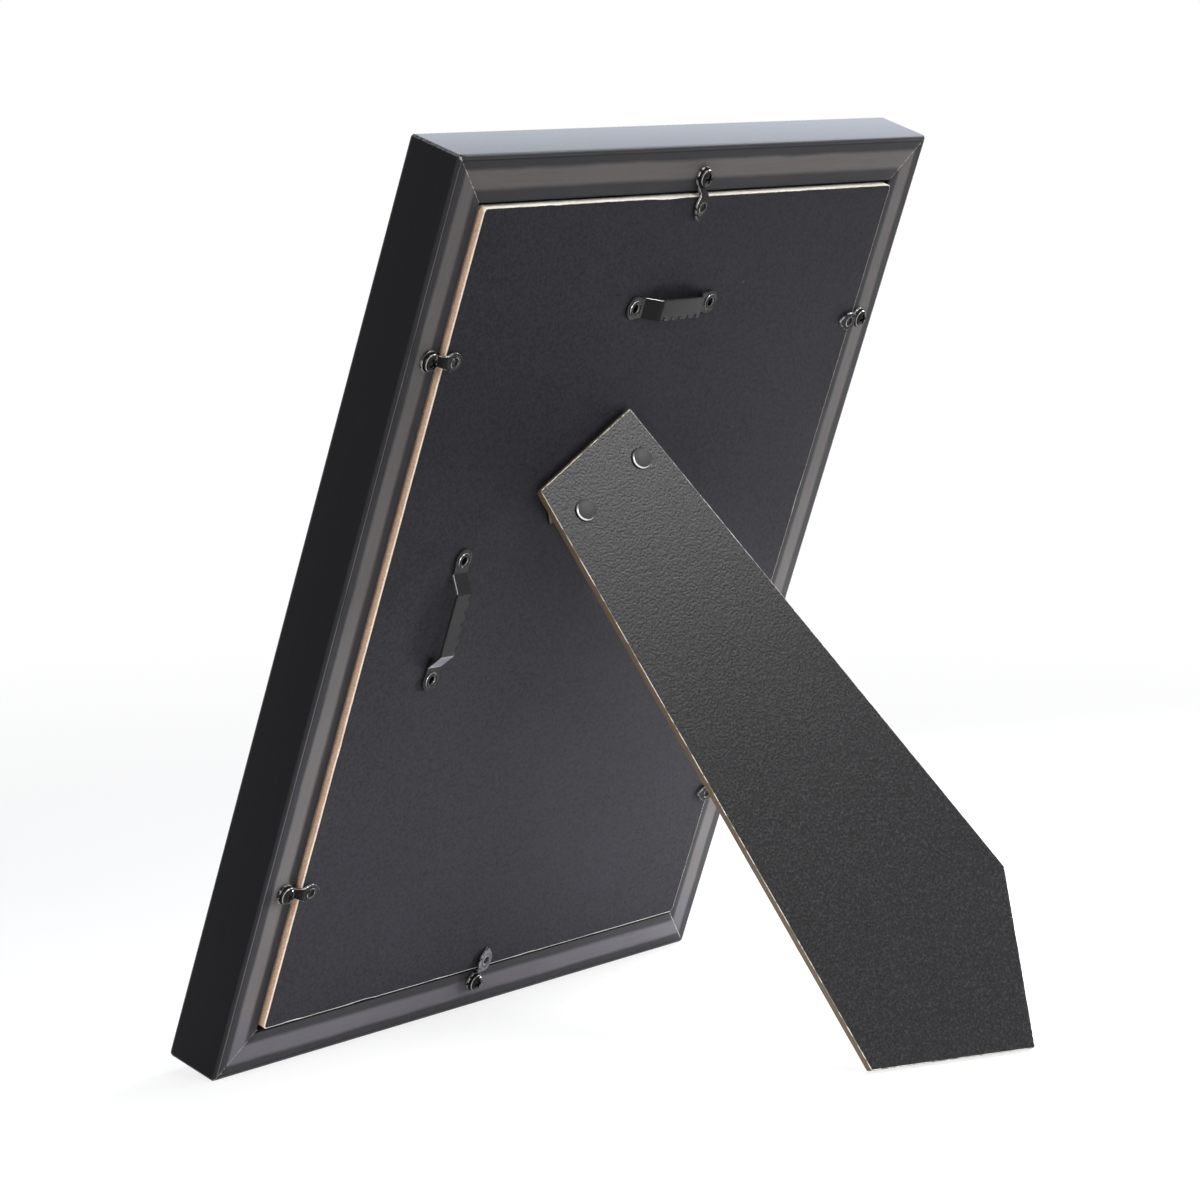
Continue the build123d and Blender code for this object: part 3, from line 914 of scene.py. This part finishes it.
foot, bridgeEnd, rise = hanger["foot"], hanger["bridge"], hanger["rise"]
hangerBends = [(-foot, 0.0), (-bridgeEnd, rise), (bridgeEnd, rise), (foot, 0.0)]
hangerHoles = []
for side in (-1, 1):
    hangerHoles.append(circle(side * hanger["eyes"] / 2, 0, hanger["hole"], hanger["holeSides"]))
hangerForm = (hangerOutline(), hangerHoles, [], hangerBends)
for node, place in hangerPlaces.items():
    rampSheenMark, rub = (rampSheen, sideRubAndSheen) if node == "side_hanger" else (None, topRubAndSheen)
    pieceName = node.split("_")[0] + "SawtoothHanger"
    strip = pressedSheet(pieceName, *hangerForm, hanger, place, lacquer, worn=rampSheenMark, rub=rub)
    settle(strip, "frame", "black_steel", node)
print("hangers: two sawtooth strips")

button = {
    "baseRadius": 3.2,
    "stepStart": 3.4,
    "stepEnd": 5.3,
    "baseLevel": 0.05,
    "leafLevel": 2.15,
    "leafAt": 8.6,
    "sheet": 0.9,
    "rim": 0.2,
    "bend": 0.5,
    "dimpleRadius": 1.5,
    "dimpleDepth": 0.4,
    "lip": 0.16,
    "halfWidths": [
        (2.75, 1.68), (3.6, 1.52), (4.6, 1.66), (5.8, 2.12), (7.1, 2.62),
        (8.5, 2.8), (9.8, 2.55), (11.0, 1.85), (12.0, 1.05), (12.55, 0.5),
    ],
    "reach": 12.8,
    "hole": 1.46,
    "holeSides": 28,
    "baseSteps": 40,
    "droop": (0.3, 4.2),  # depth at the tip, and its distance from the leaf's widest place
    "leafWear": 0.28,
}


def curvedThrough(points, steps):
    path = []
    for index in range(len(points) - 1):
        a, b = points[max(0, index - 1)], points[index]
        c, d = points[index + 1], points[min(len(points) - 1, index + 2)]
        for step in range(steps):
            t = step / steps
            bend = 2 * a - 5 * b + 4 * c - d
            twist = 3 * b - a - 3 * c + d
            path.append(0.5 * (2 * b + (c - a) * t + bend * t * t + twist * t ** 3))
    return path + [points[-1]]


def buttonOutline():
    spec = button
    side = [Vector(p) for p in spec["halfWidths"]] + [Vector((spec["reach"], 0.0))]
    upper = curvedThrough(side, 4)
    start = Vector(spec["halfWidths"][0])
    opening = start.angle(Vector((1, 0)))
    base = []
    steps = spec["baseSteps"]
    for step in range(1, steps):
        angle = -opening - (2 * pi - 2 * opening) * step / steps
        base.append(Vector((spec["baseRadius"] * cos(angle), spec["baseRadius"] * sin(angle))))
    lower = [Vector((p.x, -p.y)) for p in upper]
    return upper[::-1] + base[::-1] + lower[:-1]


# the bottom button's leaf, away from the dimple, takes the painted reflection of pale steel
def leafSheen(x, y):
    nearDimple = hypot(x - button["leafAt"], y) < 0.7 * button["dimpleRadius"]
    return button["leafWear"] if x > button["stepStart"] and not nearDimple else 0.0


def tipDroop(x, y):
    depth, reach = button["droop"]
    return -depth * max(0.0, (x - button["leafAt"]) / reach) ** 2


def onScrew(where, spin):
    level = placeMatrix(jointPlace("turn_" + where), backRight, backUp, backOut)
    return level @ Matrix.Rotation(spin, 4, "Z")


buttonTurns = {
    "top": -pi / 2,
    "bottom": pi / 2,
    "left_upper": 0.0,
    "left_lower": 0.0,
    "right_upper": pi,
    "right_lower": pi,
}
buttonBends = [(button["stepStart"], button["baseLevel"]), (button["stepEnd"], button["leafLevel"])]
screwHole = circle(0, 0, button["hole"], button["holeSides"])
dimples = [(button["leafAt"], 0.0, button["dimpleRadius"])]
buttonForm = (buttonOutline(), [screwHole], dimples, buttonBends)
for where, turn in buttonTurns.items():
    pieceName = "turnButton" + "".join(word.capitalize() for word in where.split("_"))
    leafSheenMark = leafSheen if where == "bottom" else None
    leaf = pressedSheet(pieceName, *buttonForm, button, onScrew(where, turn), lacquer, tipDroop, leafSheenMark)
    settle(leaf, "button_" + where, "black_steel", "turn_button_" + where)
print("turn buttons: six pressed leaves")


# Turned fasteners: a profile spun in Geometry Nodes and set on its places
def crossShape(x, y, spec):
    long, wide, soft = spec["length"] / 2 * mm, spec["width"] / 2 * mm, spec["soft"] * mm

    def slot(lengthwise, crosswise):
        inLength = 1 - abs(lengthwise).rise(long - soft, long + soft)
        return inLength * (1 - abs(crosswise).rise(wide - soft, wide + soft))

    return slot(x, y).most(slot(y, x))


def turnedTree(name, profile, cross, sheenSide):
    tree = bpy.data.node_groups.new(name, "GeometryNodeTree")
    radius = max(r for r, z, rub in profile)
    lowest = min(z for r, z, rub in profile)
    tall = max(z for r, z, rub in profile) - lowest
    lengths = {"Radius": radius, "Height": tall, "Lift": lowest, "RecessDepth": 0.0}
    counts = {"Sides": 48, "Rings": 2 * len(profile) - 1}
    face = tree.interface
    face.new_socket("Places", in_out="INPUT", socket_type="NodeSocketGeometry")
    for label, length in lengths.items():
        face.new_socket(label, in_out="INPUT", socket_type="NodeSocketFloat").default_value = length * mm
    for label, count in counts.items():
        face.new_socket(label, in_out="INPUT", socket_type="NodeSocketInt").default_value = count
    face.new_socket("Finish", in_out="INPUT", socket_type="NodeSocketMaterial")
    face.new_socket("Turned", in_out="OUTPUT", socket_type="NodeSocketGeometry")
    desk = NodeDesk(tree)
    entry = desk.node("NodeGroupInput", out=None)
    given = {socket.name: Wire(desk, socket) for socket in entry.outputs if socket.name}
    size = {"Size X": 1.0, "Size Y": 1.0, "Vertices X": given["Sides"] + 1, "Vertices Y": given["Rings"]}
    grid = desk.node("GeometryNodeMeshGrid", {}, size)
    x, y, z = desk.node("GeometryNodeInputPosition").parts()
    spin = (x + 0.5) * (2 * pi)
    share = y + 0.5

    def along(values):
        points = [(index / (len(values) - 1), value) for index, value in enumerate(values)]
        return desk.node("ShaderNodeFloatCurve", {"curve": points}, {"Value": share})

    out = along([r / radius for r, z, rub in profile]) * given["Radius"]
    up = along([(z - lowest) / tall for r, z, rub in profile]) * given["Height"] + given["Lift"]
    sideX, sideY = out * spin.math("COSINE"), out * spin.math("SINE")
    if cross:
        up = up - crossShape(sideX, sideY, cross) * given["RecessDepth"] * share.below(cross["topShare"])
    spot = desk.node("ShaderNodeCombineXYZ", {}, [sideX, sideY, up])
    rubAndSheenShare = along([rub for r, z, rub in profile])
    # the rub fades around the spin away from one side: a one-sided painted highlight
    if sheenSide is not None:
        rubAndSheenShare = rubAndSheenShare * (0.4 + 0.6 * (spin - sheenSide).math("COSINE")).most(0.2)
    stored = {"Geometry": grid, "Name": "rubbedRim", "Value": rubAndSheenShare}
    marked = desk.node("GeometryNodeStoreNamedAttribute", {"data_type": "FLOAT", "domain": "POINT"}, stored)
    shaped = desk.node("GeometryNodeSetPosition", {}, {"Geometry": marked, "Position": spot})
    closed = desk.node("GeometryNodeMergeByDistance", {}, {"Geometry": shaped, "Distance": mergeReach})
    aim = desk.node("GeometryNodeInputNamedAttribute", {"data_type": "FLOAT_VECTOR"}, {"Name": "aim"})
    turn = desk.node("FunctionNodeEulerToRotation", {}, [aim])
    spread = {"Points": given["Places"], "Instance": closed, "Rotation": turn}
    placed = desk.node("GeometryNodeInstanceOnPoints", {}, spread)
    real = desk.node("GeometryNodeRealizeInstances", {}, {"Geometry": placed})
    smooth = desk.node("GeometryNodeSetShadeSmooth", {}, {"Geometry": real})
    painted = desk.node("GeometryNodeSetMaterial", {}, {"Geometry": smooth, "Material": given["Finish"]})
    desk.node("NodeGroupOutput", {}, [painted], out=None)
    return tree


def turnedPieces(name, profile, places, finish, sides, cross=None, sheenSide=None):
    tree = turnedTree(name + "Tree", profile, cross, sheenSide)
    mesh = bpy.data.meshes.new(name + "Places")
    mesh.from_pydata([place.translation for place in places], [], [])
    aim = mesh.attributes.new("aim", "FLOAT_VECTOR", "POINT")
    for item, place in zip(aim.data, places):
        item.vector = place.to_euler()
    seedPoints = bpy.data.objects.new(name + "Places", mesh)
    scene.collection.objects.link(seedPoints)
    modifier = seedPoints.modifiers.new("turned", "NODES")
    modifier.node_group = tree
    depth = cross["depth"] * mm if cross else 0.0
    settings = {"Sides": sides, "Finish": finish.material, "RecessDepth": depth}
    for item in tree.interface.items_tree:
        if item.in_out == "INPUT" and item.name in settings:
            modifier[item.identifier] = settings[item.name]
    depsgraph = bpy.context.evaluated_depsgraph_get()
    solid = bpy.data.meshes.new_from_object(seedPoints.evaluated_get(depsgraph))
    seedPoints.modifiers.clear()
    bpy.data.objects.remove(seedPoints)
    solid.name = name
    shape = bmesh.new()
    shape.from_mesh(solid)
    bmesh.ops.remove_doubles(shape, verts=shape.verts, dist=mergeReach)
    bmesh.ops.recalc_face_normals(shape, faces=shape.faces)
    shape.to_mesh(solid)
    shape.free()
    solid.set_sharp_from_angle(angle=radians(50))
    piece = bpy.data.objects.new(name, solid)
    scene.collection.objects.link(piece)
    print(name, len(solid.polygons), "faces on", len(places), "places")
    return piece


# Steel with rubbed rims; the rub marks also carry painted highlight rings and, on rivets, painted shade at
# the foot
def rubbedAndSheenFinish(name, dark, bright, rough, gloss, foot=None):
    look = Finish(name, gloss=gloss)
    at = look.node("ShaderNodeTexCoord", out="Object")
    mottle = look.grain(at, 1100.0, 4.0)
    scuff = look.grain(look.stretched(at, 1.0, 0.25, 1.0), 1500.0, 3.0)
    rim = look.attribute("rubbedRim")
    worn = (rim + (scuff - 0.5) * 0.4).rise(0.3, 0.85)
    tone = look.colourMix(mottle, dark, scaledTone(dark, 1.5))
    # rivets: the unrubbed wall and shank turn near black, painted shade at the head's foot
    if foot:
        tone = look.colourMix(rim.rise(0.005, 0.03), foot, tone)
    tone = look.colourMix(worn, tone, bright)
    look.set(tone=tone, metal=0.85 * worn, rough=rough + 0.14 * (mottle - 0.5))
    look.bump(scuff, 0.01, 0.35)
    return look


def arc(centreR, centreZ, radiusR, radiusZ, start, end, steps):
    spots = []
    for step in range(steps + 1):
        angle = radians(start + (end - start) * step / steps)
        spots.append((max(0.0, centreR + radiusR * cos(angle)), centreZ + radiusZ * sin(angle)))
    return spots


def rubAndSheenAt(spots, rubs):
    last = max(1, len(spots) - 1)
    marked = []
    for index, (r, z) in enumerate(spots):
        place = index / last * (len(rubs) - 1)
        low = min(int(place), max(0, len(rubs) - 2))
        rub = rubs[0] if len(rubs) == 1 else rubs[low] + (rubs[low + 1] - rubs[low]) * (place - low)
        marked.append((r, z, rub))
    return marked


mergeReach = 2e-6
steelLooks = {  # dark and bright tone, roughness, gloss and, for the rivets, the tone of the painted shade at the foot
    "eyeletSteel": ((0.009, 0.0086, 0.0086), (0.68, 0.67, 0.66), 0.16, 0.15),
    "rivetSteel": ((0.045, 0.045, 0.046), (0.85, 0.85, 0.84), 0.3, 0.15, (0.002, 0.002, 0.002)),
    "screwSteel": ((0.007, 0.0068, 0.0068), (0.55, 0.54, 0.53), 0.16, 0.15),
    "drawnWireSteel": ((0.16, 0.16, 0.165), (0.5, 0.5, 0.5), 0.3, 0.5),
    "cornerNailSteel": ((0.3, 0.3, 0.31), (0.6, 0.6, 0.6), 0.35, 0.5),
}
steels = {name: rubbedAndSheenFinish(name, *look) for name, look in steelLooks.items()}

eyelet = {
    "bore": 1.4,
    "tube": 1.8,
    "rim": 2.5,
    "sheet": 0.8,
    "depth": 2.8,
    "neck": 1.0,
    "mouth": 0.6,
    "curlAt": 1.95,
    "curl": 0.55,
    "curlLift": 0.05,
    "flangeLift": 0.02,
    "rubs": [1, 0.3, 0, 0, 0, 0, 0.1, 1, 0.2],  # painted highlight rings at the bore and the outer rim, over the curl, from the bore to the flange
}


def eyeletProfile():
    spec = eyelet
    bore, tube, top, low = spec["bore"], spec["tube"], spec["sheet"], -spec["depth"]
    inside = [(bore, low), (bore, -spec["neck"]), (bore, spec["mouth"])]
    curl = arc(spec["curlAt"], top + spec["curlLift"], spec["curl"], spec["curl"], 165, 0, 12)
    under = [(spec["rim"], top + spec["flangeLift"]), (tube, top), (tube, 0.0), (tube, low), (bore, low)]
    return rubAndSheenAt(inside, [0, 0, 0.2]) + rubAndSheenAt(curl, spec["rubs"]) + rubAndSheenAt(under, [0])


eyeletPlaces = []
for place in hangerPlaces.values():
    eyeletPlaces += [within(place, side * hanger["eyes"] / 2, 0, 0) for side in (-1, 1)]
eyelets = turnedPieces("hangerEyelets", eyeletProfile(), eyeletPlaces, steels["eyeletSteel"], 48)
settle(eyelets, "frame", "eyelet_steel", "hanger_eyelets")

screw = {
    "head": 2.8,
    "headLevel": 1.0,
    "headHeight": 1.9,
    "headEdge": 0.25,
    "undercut": 0.1,
    "shank": 1.4,
    "length": 10.0,
    "point": 2.5,
    "rubs": [0] * 11 + [0.85, 0.45] + [0] * 4,  # a painted highlight ring near the head's edge, over the head, from the recess to the edge
}
crossRecess = {"length": 3.0, "width": 0.75, "depth": 0.95, "soft": 0.1, "topShare": 0.62}


def screwProfile():
    spec = screw
    head, shank, seat, tip = spec["head"], spec["shank"], spec["headLevel"], -spec["length"]
    dome = arc(0, seat + spec["headEdge"], head, spec["headHeight"] - spec["headEdge"], 78, 0, 16)
    under = [(head - spec["undercut"], seat), (shank, seat), (shank, tip + spec["point"]), (0.0, tip)]
    crown = [(0.0, seat + spec["headHeight"], 0.1)]
    return crown + rubAndSheenAt(dome, spec["rubs"]) + rubAndSheenAt(under, [0])


screwSpins = random.Random(31)
screwPlaces = [onScrew(where, screwSpins.uniform(0, pi / 2)) for where in buttonTurns]
screws = turnedPieces("buttonScrews", screwProfile(), screwPlaces, steels["screwSteel"], 96, crossRecess)
settle(screws, "frame", "screw_steel", "button_screws")


def rivetProfile(spec, base, end):
    crown = [(0.0, 1.0), (0.3, 0.99), (0.6, 0.95), (0.84, 0.87), (0.87, 0.845)]
    slope = [(0.89, 0.81), (0.94, 0.66), (0.975, 0.53)]
    wall = [(0.995, 0.44), (1.0, 0.36), (1.0, 0.1), (0.97, 0.0)]
    spots = []
    # the slope's rub is a painted highlight ring; the wall's unrubbed lower points take the painted shade at
    # the foot
    for outline, rubs in ((crown, [0.2]), (slope, [1]), (wall, [0.2, 0, 0, 0])):
        spots += rubAndSheenAt([(r * spec["head"], base + z * spec["height"]) for r, z in outline], rubs)
    return spots + rubAndSheenAt([(spec["shank"], base), (spec["shank"], end), (0.0, end)], [0])


strutHeads = rivetProfile(rivet, strutSpan[1], strutSpan[0] - rivet["sheet"])
rivetPlaces = [within(strutPlace, side * rivet["half"], rivetY, 0) for side in (-1, 1)]
rivetSteel = steels["rivetSteel"]
strutRivets = turnedPieces("strutRivets", strutHeads, rivetPlaces, rivetSteel, 56, sheenSide=rivet["sheenSide"])
settle(strutRivets, "strut", "rivet_steel", "strut_rivets")

bracketRivet = {
    "head": 2.5,
    "height": 0.9,
    "shank": 1.6,
    "sheet": 0.8,
    "depth": 2.8,
    "half": 11.0,
    "down": 4.4,
    "pinAbove": 4.3,
}
hingeFoot = jointPlace("strut_fold") - backOut * bracketRivet["pinAbove"] * mm
bracketPlace = placeMatrix(hingeFoot, pinAlong, foldedUp, backOut)
bracketPlaces = []
for side in (-1, 1):
    bracketPlaces.append(within(bracketPlace, side * bracketRivet["half"], -bracketRivet["down"], 0))
bracketProfile = rivetProfile(bracketRivet, bracketRivet["sheet"], -bracketRivet["depth"])
bracketHeads = turnedPieces("bracketRivets", bracketProfile, bracketPlaces, rivetSteel, 48)
settle(bracketHeads, "frame", "rivet_steel", "bracket_rivets")

pin = {"radius": 1.1, "half": 18.0, "ease": 0.3, "rubs": [0.6, 0.2, 0.2, 0.6]}
ease = pin["ease"]
pinEnd = [(0.0, pin["half"])] + arc(pin["radius"] - ease, pin["half"] - ease, ease, ease, 90, 0, 5)
pinOutline = pinEnd + [(pin["radius"], 0.0)] + [(r, -z) for r, z in reversed(pinEnd)]
acrossPin = placeMatrix(jointPlace("strut_fold"), strutUp, strutOut, pinAlong)
pinProfile = rubAndSheenAt(pinOutline, pin["rubs"])
hingeWire = turnedPieces("hingePinWire", pinProfile, [acrossPin], steels["drawnWireSteel"], 32)
settle(hingeWire, "frame", "pin_steel", "hinge_pin")


# Insert, filler and the hidden nails keep their CAD shapes
cardLooks = {  # tone, roughness, scale and depth of the fibre
    "insertPaper": ((0.86, 0.85, 0.82), 0.65, 1.4, 0.02),
    # the filler's tone is darker than plain greyboard so the eyelet bores read dark: partly painted shade
    "greyboardFillerShaded": ((0.11, 0.098, 0.082), 0.8, 0.9, 0.06),
}


def cardFinish(name, tone, rough, scale, depth):
    look = Finish(name, gloss=0.3)
    at = look.local(backPlace)
    fibre = look.grain(look.stretched(at, 1.0, 2.6, 1.0), scale, 5.0, 0.6)
    cloud = look.grain(at, 0.03, 3.0)
    shade = (fibre - 0.5) * 1.2 + (cloud - 0.5) * 0.7 + 0.4
    paper = look.colourMix(shade, tone, scaledTone(tone, 0.86))
    look.set(tone=paper, rough=rough + 0.12 * (fibre - 0.5))
    look.bump(fibre, depth, 0.4)
    return look


cards = {name: cardFinish(name, *look) for name, look in cardLooks.items()}
hiddenFinishes = {
    "insert_sheet": cards["insertPaper"],
    "filler_card": cards["greyboardFillerShaded"],
    "corner_nails": steels["cornerNailSteel"],
}
for node, finish in hiddenFinishes.items():
    frame["nodes"][node].material_slots[0].material = finish.material

# The pane stands clear of the insert by a hair, its edges eased; only its front face shows
pane = {"clear": 0.06, "ease": 0.12, "tone": (0.9, 0.95, 0.93)}
paneSpots = [backInverse @ v.co / mm for v in frame["nodes"]["glazing"].data.vertices]
paneLow = Vector([min(spot[axis] for spot in paneSpots) for axis in range(3)])
paneHigh = Vector([max(spot[axis] for spot in paneSpots) for axis in range(3)])


def glassFinish():
    look = Finish("clearGlazing", tone=pane["tone"], gloss=0.5)
    at = look.local(backPlace)
    x, y, z = at.parts()
    onFront = z.below((paneLow.z + paneHigh.z) / 2)
    smear = look.grain(look.stretched(at, 0.02, 0.05, 0.02), 1.0, 3.0)
    dust = 1 - look.cells(at, 0.35).rise(0.04, 0.09)
    look.set(rough=0.03 + 0.1 * smear.rise(0.5, 0.8), alpha=(0.1 + 0.05 * smear + 0.2 * dust) * onFront)
    return look


def makePane():
    high = paneHigh - Vector((0, 0, pane["clear"]))
    shape = bmesh.new()
    box = Matrix.LocRotScale((paneLow + high) / 2, None, high - paneLow)
    bmesh.ops.create_cube(shape, size=1.0, matrix=box)
    rounding = {"segments": 2, "profile": 0.5, "affect": "EDGES"}
    bmesh.ops.bevel(shape, geom=shape.edges[:], offset=pane["ease"], **rounding)
    bmesh.ops.recalc_face_normals(shape, faces=shape.faces)
    return makePiece("glazingPane", shape, backPlace, glassFinish())


settle(makePane(), "frame", "clear_glazing", "glazing")
print("rebate: glazing, insert, filler and nails dressed")

# Camera as in the photograph
shot = {
    "place": (1.02245, 0.72652, 0.30800),
    "azimuth": radians(126.330),
    "elevation": radians(7.876),
    "roll": radians(0.0944),
    "lens": 127.79,
    "sensor": 36.0,
}
camera = bpy.data.objects.new("photoCamera", bpy.data.cameras.new("photoCamera"))
camera.data.lens = shot["lens"]
camera.data.sensor_width = shot["sensor"]
camera.data.sensor_fit = "HORIZONTAL"
heading = Matrix.Rotation(shot["azimuth"], 4, "Z")
pitch = Matrix.Rotation(pi / 2 - shot["elevation"], 4, "X")
roll = Matrix.Rotation(shot["roll"], 4, "Z")
camera.matrix_world = Matrix.Translation(shot["place"]) @ (heading @ pitch @ roll)
scene.collection.objects.link(camera)
scene.camera = camera

# Studio: pale floor, white surround and soft lamps; the floor throws light up on the leaning back
studio = {
    "floorTone": (0.88, 0.88, 0.89),
    "floorHalf": 6.0,
    "floorLevel": -0.0002,
    "floorGlow": 0.8,
    "glowReach": (0.3, 0.9),  # from here the floor fades into the surround
    "surround": 0.06,
    "lamps": [  # name, place, aim, size, spread in degrees, power, tone
        ("overheadSoftbox", (0.08, 0.37, 1.3), (0.08, 0.06, 0.0), (0.5, 0.26), 35, 0.56, (1.0, 1.0, 1.0)),
        ("rightSoftbox", (-1.0, 0.2, 0.8), (0.0, 0.03, 0.0), (0.5, 0.5), 40, 1.0, (0.95, 0.97, 1.0)),
        ("rearSoftbox", (-1.75, -0.85, 1.25), (0.0, 0.0, 0.2), (1.9, 1.5), 180, 33.0, (0.79, 0.86, 1.0)),
        ("leftSoftbox", (1.7, 0.15, 0.8), (0.0, 0.0, 0.15), (1.0, 0.8), 180, 20.0, (1.0, 1.0, 1.0)),
        ("strutSoftbox", (-0.175, 1.32, 1.04), (0.0, 0.05, 0.17), (0.5, 0.36), 180, 5.6, (1.0, 0.99, 0.98)),
        ("floorSoftbox", (-0.8, 0.22, 1.1), (-0.4, 0.1, 0.0), (0.3, 0.3), 26, 4.0, (1.0, 1.0, 1.0)),
        ("lowStrip", (-1.0, 0.33, 0.05), (0.0, -0.07, 0.045), (0.4, 0.05), 14, 0.29, (0.93, 0.95, 1.0)),
        ("farSoftbox", (-1.5, 0.55, 0.2), (0.0, 0.0, 0.08), (0.8, 0.36), 180, 1.2, (1.0, 1.0, 1.0)),
    ],
}


def pathShare(desk):
    path = desk.node("ShaderNodeLightPath", out=None)
    names = ("Is Camera Ray", "Is Glossy Ray", "Is Transmission Ray")
    seen, mirrored, refracted = (Wire(desk, path.outputs[name]) for name in names)
    return seen.most(mirrored).most(refracted)


def makeSurround():
    world = bpy.data.worlds.new("whiteSurround")
    scene.world = world
    world.use_nodes = True
    desk = NodeDesk(world.node_tree)
    strength = studio["surround"] + pathShare(desk) * (1 - studio["surround"])
    ground = world.node_tree.nodes["Background"]
    ground.inputs["Color"].default_value = (1, 1, 1, 1)
    world.node_tree.links.new(strength.socket, ground.inputs["Strength"])


def makeFloor():
    half, level = studio["floorHalf"], studio["floorLevel"]
    corners = [(-half, -half, level), (half, -half, level), (half, half, level), (-half, half, level)]
    mesh = bpy.data.meshes.new("paleFloor")
    mesh.from_pydata(corners, [], [(0, 1, 2, 3)])
    floor = bpy.data.objects.new("paleFloor", mesh)
    scene.collection.objects.link(floor)
    look = Finish("paleFloor", gloss=0.1, rough=0.9, tone=studio["floorTone"])
    glow = look.node("ShaderNodeEmission", {}, {"Color": (1, 1, 1, 1), "Strength": 1.0})
    lit = Wire(look, look.shader.outputs[0])
    x, y, z = look.node("ShaderNodeTexCoord", out="Object").parts()
    far = (x * x + y * y).math("SQRT").rise(*studio["glowReach"])
    share = studio["floorGlow"] + (1 - studio["floorGlow"]) * far
    mixed = look.node("ShaderNodeMixShader", {}, [pathShare(look) * share, lit, glow])
    output = look.tree.nodes["Material Output"]
    look.tree.links.new(mixed.socket, output.inputs["Surface"])
    mesh.materials.append(look.material)


def hangLamp(name, place, aim, size, spread, power, tone):
    lamp = bpy.data.lights.new(name, "AREA")
    lamp.shape = "RECTANGLE"
    lamp.size, lamp.size_y = size
    lamp.spread = radians(spread)
    lamp.energy = power
    lamp.color = tone
    holder = bpy.data.objects.new(name, lamp)
    holder.location = place
    holder.rotation_euler = (Vector(aim) - Vector(place)).to_track_quat("-Z", "Y").to_euler()
    scene.collection.objects.link(holder)


makeSurround()
makeFloor()
for lampLook in studio["lamps"]:
    hangLamp(*lampLook)
print("studio: floor, surround and", len(studio["lamps"]), "lamps")
